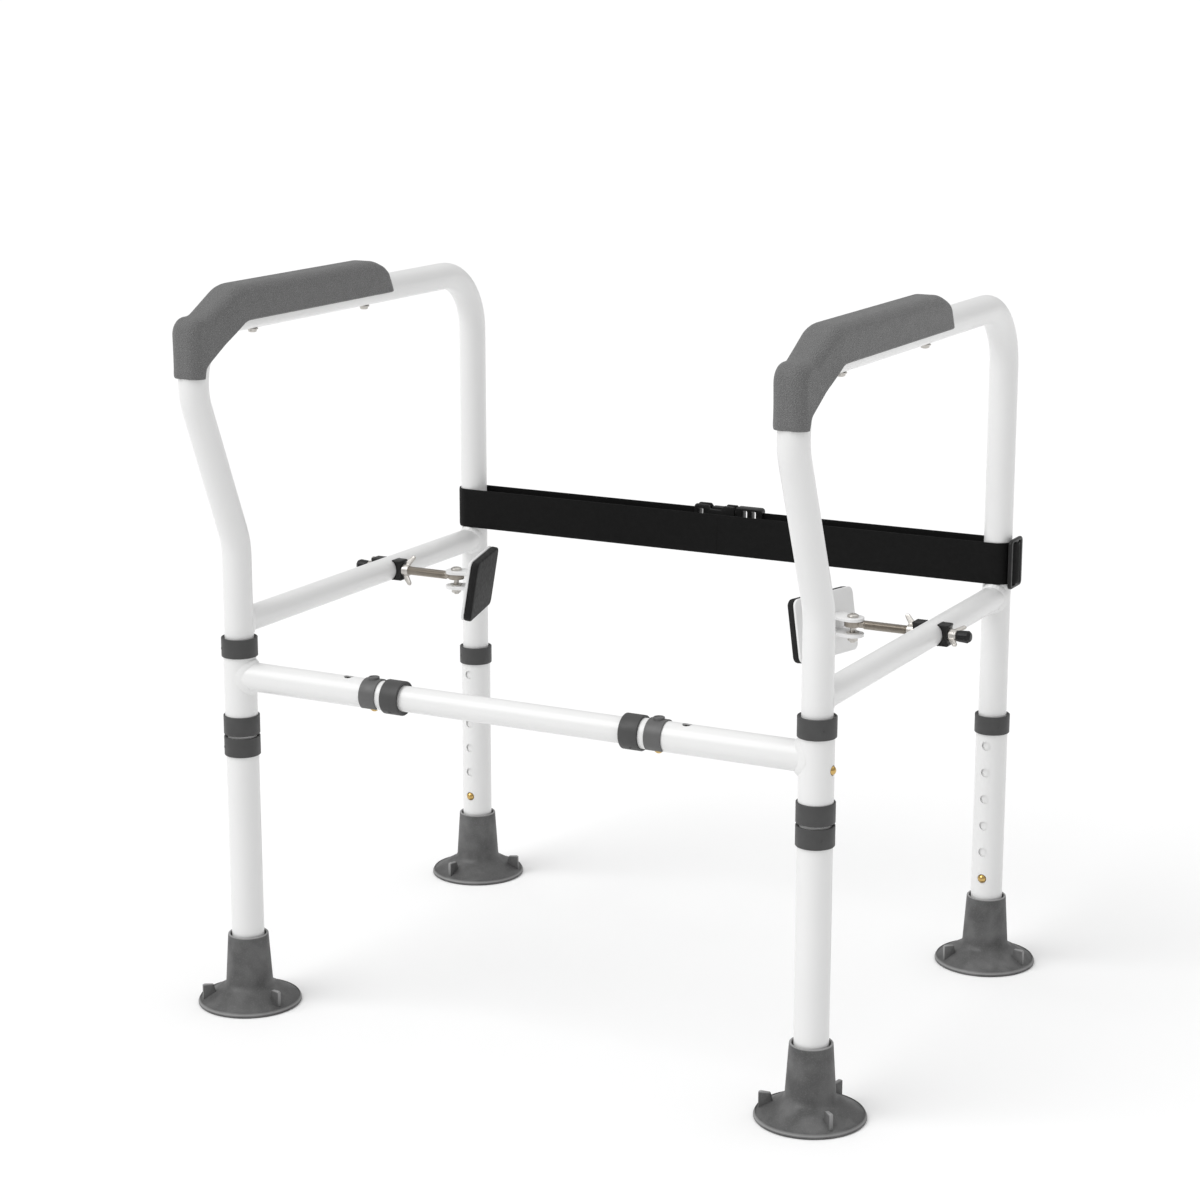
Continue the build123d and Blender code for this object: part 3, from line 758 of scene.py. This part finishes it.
def arm_pad():
    outline = pad_outline()
    stations = pad_stations()
    runs = [0.0]
    for (a, _), (b, _) in zip(stations, stations[1:]):
        runs.append(runs[-1] + (b - a).length)
    rows = []
    for (point, direction), run in zip(stations, runs):
        low, high = reach(outline, point, direction)
        draw = inset(run, FRONT_ROUND) + inset(runs[-1] - run, REAR_ROUND)
        knob = max(0.0, 1 - run / KNOB_RUN)
        shoulder = SHOULDER_R + (KNOB_SHOULDER_R - SHOULDER_R) * knob
        crest_y = point.x + direction.x * high - FRONT_Y
        share = min(1, max(0, (crest_y - WIDENING[0]) / (WIDENING[1] - WIDENING[0])))
        half_width = max(KNOB_HALF + (REST_HALF - KNOB_HALF) * share - draw, ARM_R + 1.6)
        section = pad_section(low, high - draw, half_width, shoulder)
        rows.append([Vector((HALF + p.x, *(point + direction * p.y))) for p in section])
    return skin(rows, capped=True)


SCREW_WASHER = [(0, 0), (5.0, 0), (5.0, 1.1), (0, 1.1)]
SCREW_HEAD = [(0, 1.0), (3.8, 1.0), (3.7, 3.0), (2.4, 3.6), (1.7, 3.6), (1.5, 2.3), (0, 2.3)]


def hex_socket(profile, radius):
    """The part of a profile within the radius gets the six flats of a hex key."""
    return [(*point, 6) if 0 < point[0] < radius else tuple(point) for point in profile]


def pan_screws():
    """Pan heads and washers under the arm tube."""
    screws = []
    low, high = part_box("right_pad_screws")
    washer_r = SCREW_WASHER[1][0]
    for y in (low.y / MM + washer_r, high.y / MM - washer_r):
        washer = lathe(rounded(SCREW_WASHER, [0, 0.3, 0.3, 0], 2), 40)
        head = lathe(hex_socket(rounded(SCREW_HEAD, [0, 0.2, 0.9, 0.5, 0.1, 0.1, 0], 3), 1.75), 48)
        screws.append(moved(merge(washer, head), along((0, 0, -1), (HALF, y, ARM_TOP_Z - ARM_R + 0.1))))
    return merge(*screws)


def build_pads():
    for obj in pair("foam_arm_pad", arm_pad, "frame", "arm_foam", FOAM, "arm_pad"):
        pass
    pair("pad_screw_heads", pan_screws, "frame", "zinc_steel", ZINC, "pad_screws")


# ---------------------------------------------------------------- snap buttons

BUTTON_R = 3.7
BUTTON_DOME = 2.3
BUTTON_SINK = 1.6  # how far the button starts inside the tube's bore
SPRING_CROWN = 38.0
SPRING_END = -6.0
STRIP_HALF, STRIP_WIDTH_HALF = 0.35, 3.5
SPRING_TOP = SPRING_CROWN + STRIP_HALF
SPRING_BEND = (-4.0, 6.0)  # out from the axis


def snap_button(bore, tip):
    """A domed button on a hairpin spring, pointing along +X from the tube's axis; the spring runs up Z."""
    shoulder = tip - BUTTON_DOME
    profile = [(0, bore - BUTTON_SINK), (BUTTON_R, bore - BUTTON_SINK), (BUTTON_R, shoulder)]
    ball = (BUTTON_R**2 + BUTTON_DOME**2) / (2 * BUTTON_DOME)
    for k in range(1, 11):
        height = BUTTON_DOME * math.sin(math.pi / 2 * k / 10)
        profile.append((math.sqrt(max(0.0, ball**2 - (ball - BUTTON_DOME + height) ** 2)), shoulder + height))
    button = moved(lathe(profile, 40), along((1, 0, 0)))
    end_x = bore - BUTTON_SINK - 0.1
    waist_x = end_x - 1.2
    corner = waist_x - 0.3
    bend_z = SPRING_CROWN - corner
    path = [Vector((end_x, 0, SPRING_END)), Vector((waist_x, 0, bend_z))]
    for k in range(1, 12):
        angle = math.pi * k / 12
        path.append(Vector((waist_x * math.cos(angle), 0, bend_z + corner * math.sin(angle))))
    path += [Vector((-waist_x, 0, bend_z)), Vector((-end_x, 0, SPRING_END))]
    a, b = STRIP_HALF, STRIP_WIDTH_HALF
    strip = rounded([(-a, -b), (a, -b), (a, b), (-a, b)], 0.15, 2)
    return merge(button, sweep(path, lambda i: strip, (0, 1, 0)))


def sprung_pair(name, node, sizes, at, turn):
    """Snap buttons on their hairpin springs, right and left, baked in place."""
    objs = pair(name, lambda: moved(snap_button(*sizes), Matrix.Translation(at) @ turn),
                None, "button_steel", BRASS, node)
    outward = turn.to_3x3() @ Vector((1, 0, 0))
    for obj, side, sign in zip(objs, ("right", "left"), (1, -1)):
        ends = (at + outward * distance for distance in SPRING_BEND)
        start, end = (Vector((sign * p.x, p.y, p.z)) * MM for p in ends)
        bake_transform(obj)


def build_buttons():
    quarter = math.pi / 2
    in_frame = ARM_R - WALL, LEG_R + BUTTON_DOME
    for end, y, facing in (("front", FRONT_Y, 1), ("rear", REAR_Y, -1)):
        node = f"{end}_leg_button"
        at = Vector((HALF, y, top(f"right_{node}") - SPRING_TOP))
        sprung_pair(f"{end}_snap_button", node, in_frame, at, Matrix.Rotation(quarter * facing, 4, "Z"))
    at = Vector((HALF, FRONT_Y, top("right_sleeve_button") - SPRING_TOP))
    sprung_pair("sleeve_snap_button", "sleeve_button", in_frame, at, Matrix())
    in_bar = MIDDLE_R - WALL, BAR_R + BUTTON_DOME
    at = Vector((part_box("right_crossbar_button")[0].x / MM + SPRING_TOP, FRONT_Y, CROSSBAR_Z))
    turn = Matrix.Rotation(math.pi, 4, "Z") @ Matrix.Rotation(quarter, 4, "Y")
    sprung_pair("crossbar_snap_button", "crossbar_button", in_bar, at, turn)


# ---------------------------------------------------------------- bowl clamps

PIN = Vector((200.0, CLAMP_Y, RAIL_Z))
PIN_HOLE_R = 2.6
ROD_R, PITCH, THREAD_DEPTH = 3.95, 1.25, 0.61
EYE_R, EYE_THICKNESS, NECK_HALF = 7.5, 5.0, 3.3
EAR_R, EAR_THICKNESS, EAR_LENGTH = 10.0, 3.0, 22.2
EAR_TOP, EAR_BOTTOM = 2.8, -8.3
PLATE_SIZE, PLATE_CORNER = (56.5, 79.0), 6
PLATE_THICKNESS, RUBBER_THICKNESS = 2.6, 7.0
SWIVEL_DEG, TILT_DEG = -16, -9
AT_PIVOT = Matrix.Translation(PIN) @ Matrix.Rotation(math.radians(SWIVEL_DEG), 4, "Z")
PLATE_PLACE = (AT_PIVOT @ Matrix.Translation((-20.5, -10, (EAR_TOP + EAR_BOTTOM) / 2))
               @ Matrix.Rotation(math.radians(TILT_DEG), 4, "Y") @ Matrix.Rotation(-math.pi / 2, 4, "Y"))
SADDLE_NEAR, SADDLE_FAR, SADDLE_LIP = 6.5, 16.0, 17.2  # from the rail's axis
SADDLE_HEIGHT, SADDLE_WIDTH = 9.5, 13.0
NUT_FACE = 16.1
NUT_HUB = [(4.03, 0), (5.8, 0), (4.9, 6.4), (4.03, 6.4)]
WING = {  # (along the hub, outwards): radius
    (0.9, 4.3): 0.6, (5.6, 4.3): 2.5, (10.5, 11.4): 1.2, (10.5, 14.0): 1.6, (7.2, 14.0): 1.4,
    (0.9, 7.4): 2.5,
}
INNER_WING_DEG, OUTER_WING_DEG = 70, 25
BOLT_HEAD = [(0, 0), (5.2, 0), (5.0, 1.8), (3.2, 2.8), (2.0, 2.8), (1.8, 1.2), (0, 1.2)]
BOLT_WASHER = [(2.5, 0), (5.6, 0), (5.6, 1.0), (2.5, 1.0)]
BOLT_NUT = [(2.5, 0), (3.5, 0), (4.0, 0.5, 6), (4.0, 3.7, 6), (3.5, 4.2), (2.5, 4.2)]
BOLT_R, BOLT_END_R = 2.4, 2.1


def thread(start, end, hand):
    """A threaded bar along +X, with a rolled profile."""
    facets, rings = 30, 6
    rows = []
    count = round((end - start) / PITCH * rings)
    for k in range(count + 1):
        x = start + (end - start) * k / count
        row = []
        for j in range(facets):
            turn = (x / PITCH - hand * j / facets) % 1
            crest = min(1, max(0, 1.4 * (1 - abs(2 * turn - 1)) - 0.2))
            r = ROD_R - THREAD_DEPTH * PITCH * (1 - crest)
            angle = WHOLE_TURN * j / facets
            row.append(Vector((x, PIN.y + r * math.cos(angle), PIN.z + r * math.sin(angle))))
        rows.append(row)
    return skin(rows, capped=True)


def rod_eye():
    """A flat eye whose neck runs into the threaded bar."""
    start = math.asin(NECK_HALF / EYE_R)
    neck_end = EAR_R + 2
    outline = arc(EYE_R, start, WHOLE_TURN - start, 48)
    outline += [Vector((neck_end, -NECK_HALF)), Vector((neck_end, NECK_HALF))]
    return moved(plate([outline, circle(PIN_HOLE_R, 28)], EYE_THICKNESS, 0.7), Matrix.Translation(PIN))


def clamp_rod(hand):
    rod_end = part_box("right_clamp_rod")[1].x / MM
    return merge(thread(PIN.x + EAR_R + 0.6, rod_end, hand), rod_eye())


def rod_cap():
    """A cap over the rod's end, with eight flats at the tip."""
    low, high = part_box("right_rod_cap")
    length = (high.x - low.x) / MM
    roof = length - 1.6
    corners = [(4.0, 0), (4.6, 0), (5.0, 2.2), (5.0, length - 2.4), (3.4, length), (0, length),
               (0, roof), (4.0, roof)]
    profile = rounded(corners, [0, 0.3, 0.8, 0.8, 0.7, 0, 0, 0], 3)
    profile = [(*p, 8) if p[1] > length - 3.6 and p[0] > 3.5 else tuple(p) for p in profile]
    return moved(lathe(profile, 64), along((1, 0, 0), (low.x / MM, CLAMP_Y, RAIL_Z)))


def saddle(outward):
    """A moulded block hollowed to the rail, seen from the rear and extruded along the rail."""
    groove = RAIL_R + FIT
    start = math.acos(SADDLE_NEAR / groove)
    flank, height = 6.2, SADDLE_HEIGHT
    corners = [(SADDLE_NEAR, height), (SADDLE_LIP, height), (SADDLE_FAR, flank),
               (SADDLE_FAR, -flank), (SADDLE_LIP, -height), (SADDLE_NEAR, -height)]
    body = rounded(corners, [0.15, 1.3, 3.0, 3.0, 1.3, 0.15], 4)
    bm = plate([arc(groove, -start, start, 24) + body], SADDLE_WIDTH, 1.0)
    if outward < 0:
        bm = mirrored(bm)
    return moved(bm, Matrix.Translation((HALF, CLAMP_Y, RAIL_Z)) @ Matrix.Rotation(math.pi / 2, 4, "X"))


def wing_nut():
    """Along +X, with its flat face at x = 0 and its wings in the XY plane."""
    wings = []
    for turn in (0, math.pi):
        wing = plate([shaped(WING, 4)], 2.2, 0.8)
        wings.append(moved(wing, Matrix.Rotation(turn, 4, "X")))
    hub = moved(lathe(NUT_HUB, 48), along((1, 0, 0)))
    return cast(merge(hub, *wings), 0.3, 4)


def placed_nut(outward, wing_deg):
    nut = moved(wing_nut(), Matrix.Rotation(math.radians(wing_deg), 4, "X"))
    if outward < 0:
        nut = mirrored(nut)
    return moved(nut, Matrix.Translation((HALF + outward * NUT_FACE, CLAMP_Y, RAIL_Z)))


def clamp_plate():
    """The face and the two ears that hold the rod's eye."""
    face = plate([rectangle(*PLATE_SIZE, PLATE_CORNER)], PLATE_THICKNESS, 0.7)
    parts = [moved(face, PLATE_PLACE @ Matrix.Translation((0, 0, PLATE_THICKNESS / 2)))]
    outline = arc(EAR_R, -math.pi / 2, math.pi / 2, 24)
    outline += [Vector((-EAR_LENGTH, EAR_R)), Vector((-EAR_LENGTH, -EAR_R))]
    for low in (EAR_TOP, EAR_BOTTOM - EAR_THICKNESS):
        ear = plate([outline, circle(PIN_HOLE_R, 28)], EAR_THICKNESS, 0.5)
        parts.append(moved(ear, AT_PIVOT @ Matrix.Translation((0, 0, low + EAR_THICKNESS / 2))))
    return merge(*parts)


def clamp_rubber():
    pad = plate([rectangle(*PLATE_SIZE, PLATE_CORNER)], RUBBER_THICKNESS, 1.6)
    return moved(pad, PLATE_PLACE @ Matrix.Translation((0, 0, PLATE_THICKNESS + RUBBER_THICKNESS / 2)))


def pivot_bolt():
    """Head on the upper ear, washer inside the lower one and nut below it."""
    head_z = EAR_TOP + EAR_THICKNESS
    nut_z = EAR_BOTTOM - EAR_THICKNESS
    tip_z = nut_z - 5.5
    head = hex_socket(rounded(BOLT_HEAD, [0, 0.3, 0.9, 0.8, 0.15, 0.1, 0], 4), 2.1)
    shank = [(0, tip_z), (BOLT_END_R, tip_z), (BOLT_R, tip_z + 0.6),
             (BOLT_R, head_z + 0.5), (0, head_z + 0.5)]
    lift = Matrix.Translation
    parts = [moved(lathe(head, 60), lift((0, 0, head_z))), lathe(shank, 32),
             moved(lathe(rounded(BOLT_WASHER, 0.2, 2), 48), lift((0, 0, EAR_BOTTOM))),
             moved(lathe(BOLT_NUT, 72), lift((0, 0, nut_z - 4.3)))]
    return moved(merge(*parts), AT_PIVOT)


def build_clamps():
    rods = {"right": clamp_rod(1), "left": mirrored(clamp_rod(-1))}  # both with a right-hand thread
    for side, bm in rods.items():
        piece(f"{side}_threaded_rod", bm, f"{side}_rod", "zinc_steel", THREAD, f"{side}_clamp_rod")
    pair("rod_end_cap", rod_cap, "rod", "black_plastic", BLACK, "rod_cap")
    pair("saddle_blocks", lambda: merge(saddle(1), saddle(-1)), "frame", "black_plastic", BLACK,
         "rail_saddles")
    for name, outward, wing_deg in (("inner", -1, INNER_WING_DEG), ("outer", 1, OUTER_WING_DEG)):
        pair(f"{name}_cast_wing_nut", lambda: placed_nut(outward, wing_deg), f"{name}_nut",
             "zinc_steel", ZINC, f"{name}_wing_nut")
    pair("clamp_face_plate", clamp_plate, "clamp", "frame_coat", COAT, "clamp_plate")
    pair("clamp_face_rubber", clamp_rubber, "clamp", "pad_rubber", RUBBER, "clamp_rubber")
    pair("pivot_bolt_set", pivot_bolt, "clamp", "zinc_steel", ZINC, "pivot_bolt")


# ---------------------------------------------------------------- strap

WEB_LOW = bottom("right_strap_half")
WEB_HIGH = top("right_strap_half")
WEB_MIDDLE = (WEB_LOW + WEB_HIGH) / 2
WEB_THICKNESS = 1.5
LOOP_R = ARM_R + 0.4 + WEB_THICKNESS / 2
BUCKLE_Y = REAR_Y + LOOP_R
BUCKLE_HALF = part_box("buckle_plug")[1].x / MM + 1
WEB_TUCK = 3.0  # how far it goes into the buckle
RIB = 1.15
WEAVE = (-0.24, 0.01)  # its valleys and crests, from half the thickness
SELVEDGE = (-0.15, -0.03)
WINDOW_Y, WINDOW_SHARE = 6.6, 7.4 / 30  # the slide's windows: place, and width as a share of the slide's
LOOP_SPAN_HALF, LOOP_BULGE = 8.6, 3.6
LADDER = (17.5, 26.5)
PRONG = {  # (along the strap, up): radius
    (9.3, 12.5): 0, (9.3, 17.5): 0, (-3, 17.5): 2, (-6, 21.4): 2, (-17, 21.4): 1.8, (-18.4, 18): 1,
    (-15, 14.4): 2, (-2, 13.2): 3,
}
TONGUE = {(9.3, -4): 0, (9.3, 4): 0, (-12, 3): 1, (-15.5, 0): 1, (-12, -3): 1}


def web_path():
    """Along the front run, round the upright and back to the buckle, in the XY plane."""
    start = 0.1
    run = HALF - start
    count = round(run / RIB)
    path = [Vector((start + run * k / count, REAR_Y - LOOP_R, WEB_MIDDLE)) for k in range(count)]
    count = round(math.pi * LOOP_R / RIB)
    for k in range(count):
        angle = -math.pi / 2 + math.pi * k / count
        path.append(Vector((HALF + LOOP_R * math.cos(angle), REAR_Y + LOOP_R * math.sin(angle), WEB_MIDDLE)))
    run = HALF - BUCKLE_HALF + WEB_TUCK
    count = round(run / RIB)
    return path + [Vector((HALF - run * k / count, BUCKLE_Y, WEB_MIDDLE)) for k in range(count + 1)]


def web_section(height, index):
    """The webbing's section: a basket weave in relief and a thicker woven edge."""
    half, thick = height / 2, WEB_THICKNESS / 2
    rows = 22
    section = []
    for face in (1, -1):
        for j in range(rows + 1):
            z = face * half * (1 - 2 * j / rows)
            edge = min(j, rows - j)
            if edge > 1:
                relief = thick + WEAVE[(index + j) % 2]
            elif edge == 1:
                relief = thick + SELVEDGE[index % 2]
            else:
                relief = thick * 0.45
            section.append((-face * relief, z))
    return section


def webbing_strip(path, height):
    return sweep(path, lambda i: web_section(height, i), (0, 0, 1))


def build_strap():
    strips = pair("webbing", lambda: webbing_strip(web_path(), WEB_HIGH - WEB_LOW), None, "webbing", WEB,
                  "strap_half")
    for obj, side, sign in zip(strips, ("right", "left"), (1, -1)):
        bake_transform(obj)
    piece("strap_adjuster", tri_glide(), "right_frame", "black_plastic", BLACK, "strap_tri_glide")
    piece("strap_adjuster_loop", adjuster_loop(), "right_frame", "webbing", WEB)
    piece("buckle_female", buckle_socket(), "crossbar", "black_plastic", BLACK, "buckle_socket")
    piece("buckle_male", buckle_plug(), "crossbar", "black_plastic", BLACK, "buckle_plug")


def tri_glide():
    """A slide with two windows, standing on the upright's outer side."""
    size = extent("strap_tri_glide")
    outlines = [rectangle(size.y, size.z, 4.5)]
    for y in (-WINDOW_Y, WINDOW_Y):
        outlines.append(rectangle(size.y * WINDOW_SHARE, size.z - 6, 1.2, (y, 0)))
    turn = Matrix.Rotation(math.pi / 2, 4, "Z") @ Matrix.Rotation(math.pi / 2, 4, "X")
    return moved(plate(outlines, size.x, 1.1), Matrix.Translation(middle("strap_tri_glide")) @ turn)


def adjuster_loop():
    """The stretch of webbing that shows where it goes over the slide's middle bar."""
    centre = middle("strap_tri_glide")
    path, count = [], 24
    for k in range(count + 1):
        share = k / count
        bulge = math.sin(math.pi * share) ** 0.5
        y = centre.y + LOOP_SPAN_HALF * (2 * share - 1)
        path.append(Vector((centre.x - 1.0 + LOOP_BULGE * bulge, y, WEB_MIDDLE)))
    return webbing_strip(path, WEB_HIGH - WEB_LOW - 1.0)


def at_buckle(bm):
    """From a drawing with x along the strap and y up, to its place on the rear run."""
    return moved(bm, Matrix.Translation((0, BUCKLE_Y, WEB_MIDDLE)) @ Matrix.Rotation(math.pi / 2, 4, "X"))


def buckle_socket():
    """Two bowed shells with a scoop at each side, joined at the webbing end by its bars."""
    half = BUCKLE_HALF
    height = extent("buckle_socket").z / 2
    depth = extent("buckle_socket").y / 2
    scoop = 4 - height
    side = [(1 - half, -height), (-21, -height), (-18, scoop), (-7, scoop), (-4, -height), (7, -height)]
    radii = [3, 2, 2, 2, 2, 1.5]
    shell = rounded(side + [(x, -y) for x, y in reversed(side)], radii + radii[::-1], 4)
    slot = rectangle(5, 2 * height - 8, 1.2, (7.5 - half, 0))
    parts = []
    for face in (-1, 1):
        cover = plate([shell, slot], 2.2, 0.8)
        for vert in cover.verts:
            vert.co.z += face * (0.5 - 0.9 * (vert.co.y / height) ** 2)
        parts.append(moved(cover, Matrix.Translation((0, 0, face * (depth - 1.6)))))
    end_bar = block((4.0, 2 * height - 3, 2 * depth - 2.4), 0.8, (3.2 - half, 0, 0))
    inner_bar = block((4.5, 2 * height - 3, 2 * depth - 3.0), 0.8, (13.0 - half, 0, 0))
    return at_buckle(merge(*parts, end_bar, inner_bar))


def buckle_plug():
    """A ladder bar for the webbing, a guide tongue and two sprung prongs with thumb pads."""
    half = BUCKLE_HALF
    height = extent("buckle_socket").z / 2
    base = [rectangle(half - 8.3, 2 * height, 3, ((half + 6.3) / 2, 0))]
    for x in LADDER:
        base.append(rectangle(4.5, 2 * height - 6, 1.2, (x, 0)))
    parts = [plate(base, 9.6, 1.2), plate([shaped(TONGUE, 3)], 5.5, 0.8)]
    for turn in (0, math.pi):
        prong = plate([shaped(PRONG, 4)], 6.4, 0.9)
        parts.append(moved(prong, Matrix.Rotation(turn, 4, "X")))
    return at_buckle(merge(*parts))


# ---------------------------------------------------------------- studio

FLOOR_SIZE = 400  # metres, so that its edge is lost at the horizon
FLOOR_DROP = 0.0003
FILL, BACKDROP = 0.55, 1.0
CAMERA_PLACE = (1.095589, -2.106983, 0.914973)
AZIMUTH_DEG, ELEVATION_DEG = 27.884, 13.179
FOCAL_LENGTH, SENSOR_WIDTH = 82.89, 36


def sun(name, toward, strength, spread_deg):
    """A soft light from a direction."""
    data = bpy.data.lights.new(name, "SUN")
    data.energy = strength
    data.angle = math.radians(spread_deg)
    obj = bpy.data.objects.new(name, data)
    obj.rotation_euler = Vector(toward).to_track_quat("Z", "Y").to_euler()
    bpy.context.scene.collection.objects.link(obj)


def floor():
    """Rides on a leg, so that it stays under the feet when the legs are let out."""
    bm = bmesh.new()
    bmesh.ops.create_grid(bm, x_segments=1, y_segments=1, size=FLOOR_SIZE)
    mesh = bpy.data.meshes.new("floor")
    bm.to_mesh(mesh)
    bm.free()
    obj = bpy.data.objects.new("floor", mesh)
    obj.location.z = -FLOOR_DROP
    material = bpy.data.materials.new("floor_paint")
    material.use_nodes = True
    shader = material.node_tree.nodes["Principled BSDF"]
    shader.inputs["Base Color"].default_value = (0.94, 0.94, 0.94, 1)
    shader.inputs["Roughness"].default_value = 0.9
    shader.inputs["Specular IOR Level"].default_value = 0.1
    mesh.materials.append(material)
    bpy.context.scene.collection.objects.link(obj)
    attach(obj, "right_front_leg")


def studio():
    """Soft suns and a dim white fill; past the floor's edge the backdrop is as white as the floor."""
    world = bpy.data.worlds.new("studio")
    world.use_nodes = True
    tree = world.node_tree
    fill = tree.nodes["Background"]
    backdrop = tree.nodes.new("ShaderNodeBackground")
    for shader, strength in ((fill, FILL), (backdrop, BACKDROP)):
        shader.inputs["Color"].default_value = (1.0, 1.0, 1.0, 1)
        shader.inputs["Strength"].default_value = strength
    mix = tree.nodes.new("ShaderNodeMixShader")
    tree.links.new(tree.nodes.new("ShaderNodeLightPath").outputs["Is Camera Ray"], mix.inputs["Fac"])
    tree.links.new(fill.outputs["Background"], mix.inputs[1])
    tree.links.new(backdrop.outputs["Background"], mix.inputs[2])
    tree.links.new(mix.outputs["Shader"], tree.nodes["World Output"].inputs["Surface"])
    bpy.context.scene.world = world
    bpy.context.scene.view_settings.view_transform = "Standard"
    sun("key", (-0.8, -1.1, 1.5), 1.55, 45)
    sun("overhead", (0.3, 0.5, 2.0), 0.65, 70)


def camera():
    """Looks the way the photograph does; the azimuth goes round from the front to the right."""
    azimuth, elevation = math.radians(AZIMUTH_DEG), math.radians(ELEVATION_DEG)
    level = math.cos(elevation)
    back = Vector((math.sin(azimuth) * level, -math.cos(azimuth) * level, math.sin(elevation)))
    data = bpy.data.cameras.new("camera")
    data.lens = FOCAL_LENGTH
    data.sensor_width = SENSOR_WIDTH
    obj = bpy.data.objects.new("camera", data)
    obj.location = CAMERA_PLACE
    obj.rotation_euler = (-back).to_track_quat("-Z", "Y").to_euler()
    bpy.context.scene.collection.objects.link(obj)
    bpy.context.scene.camera = obj


camera()
studio()
floor()
dress_tubes()
build_welds()
build_collars()
build_feet()
build_pads()
build_buttons()
build_clamps()
build_strap()
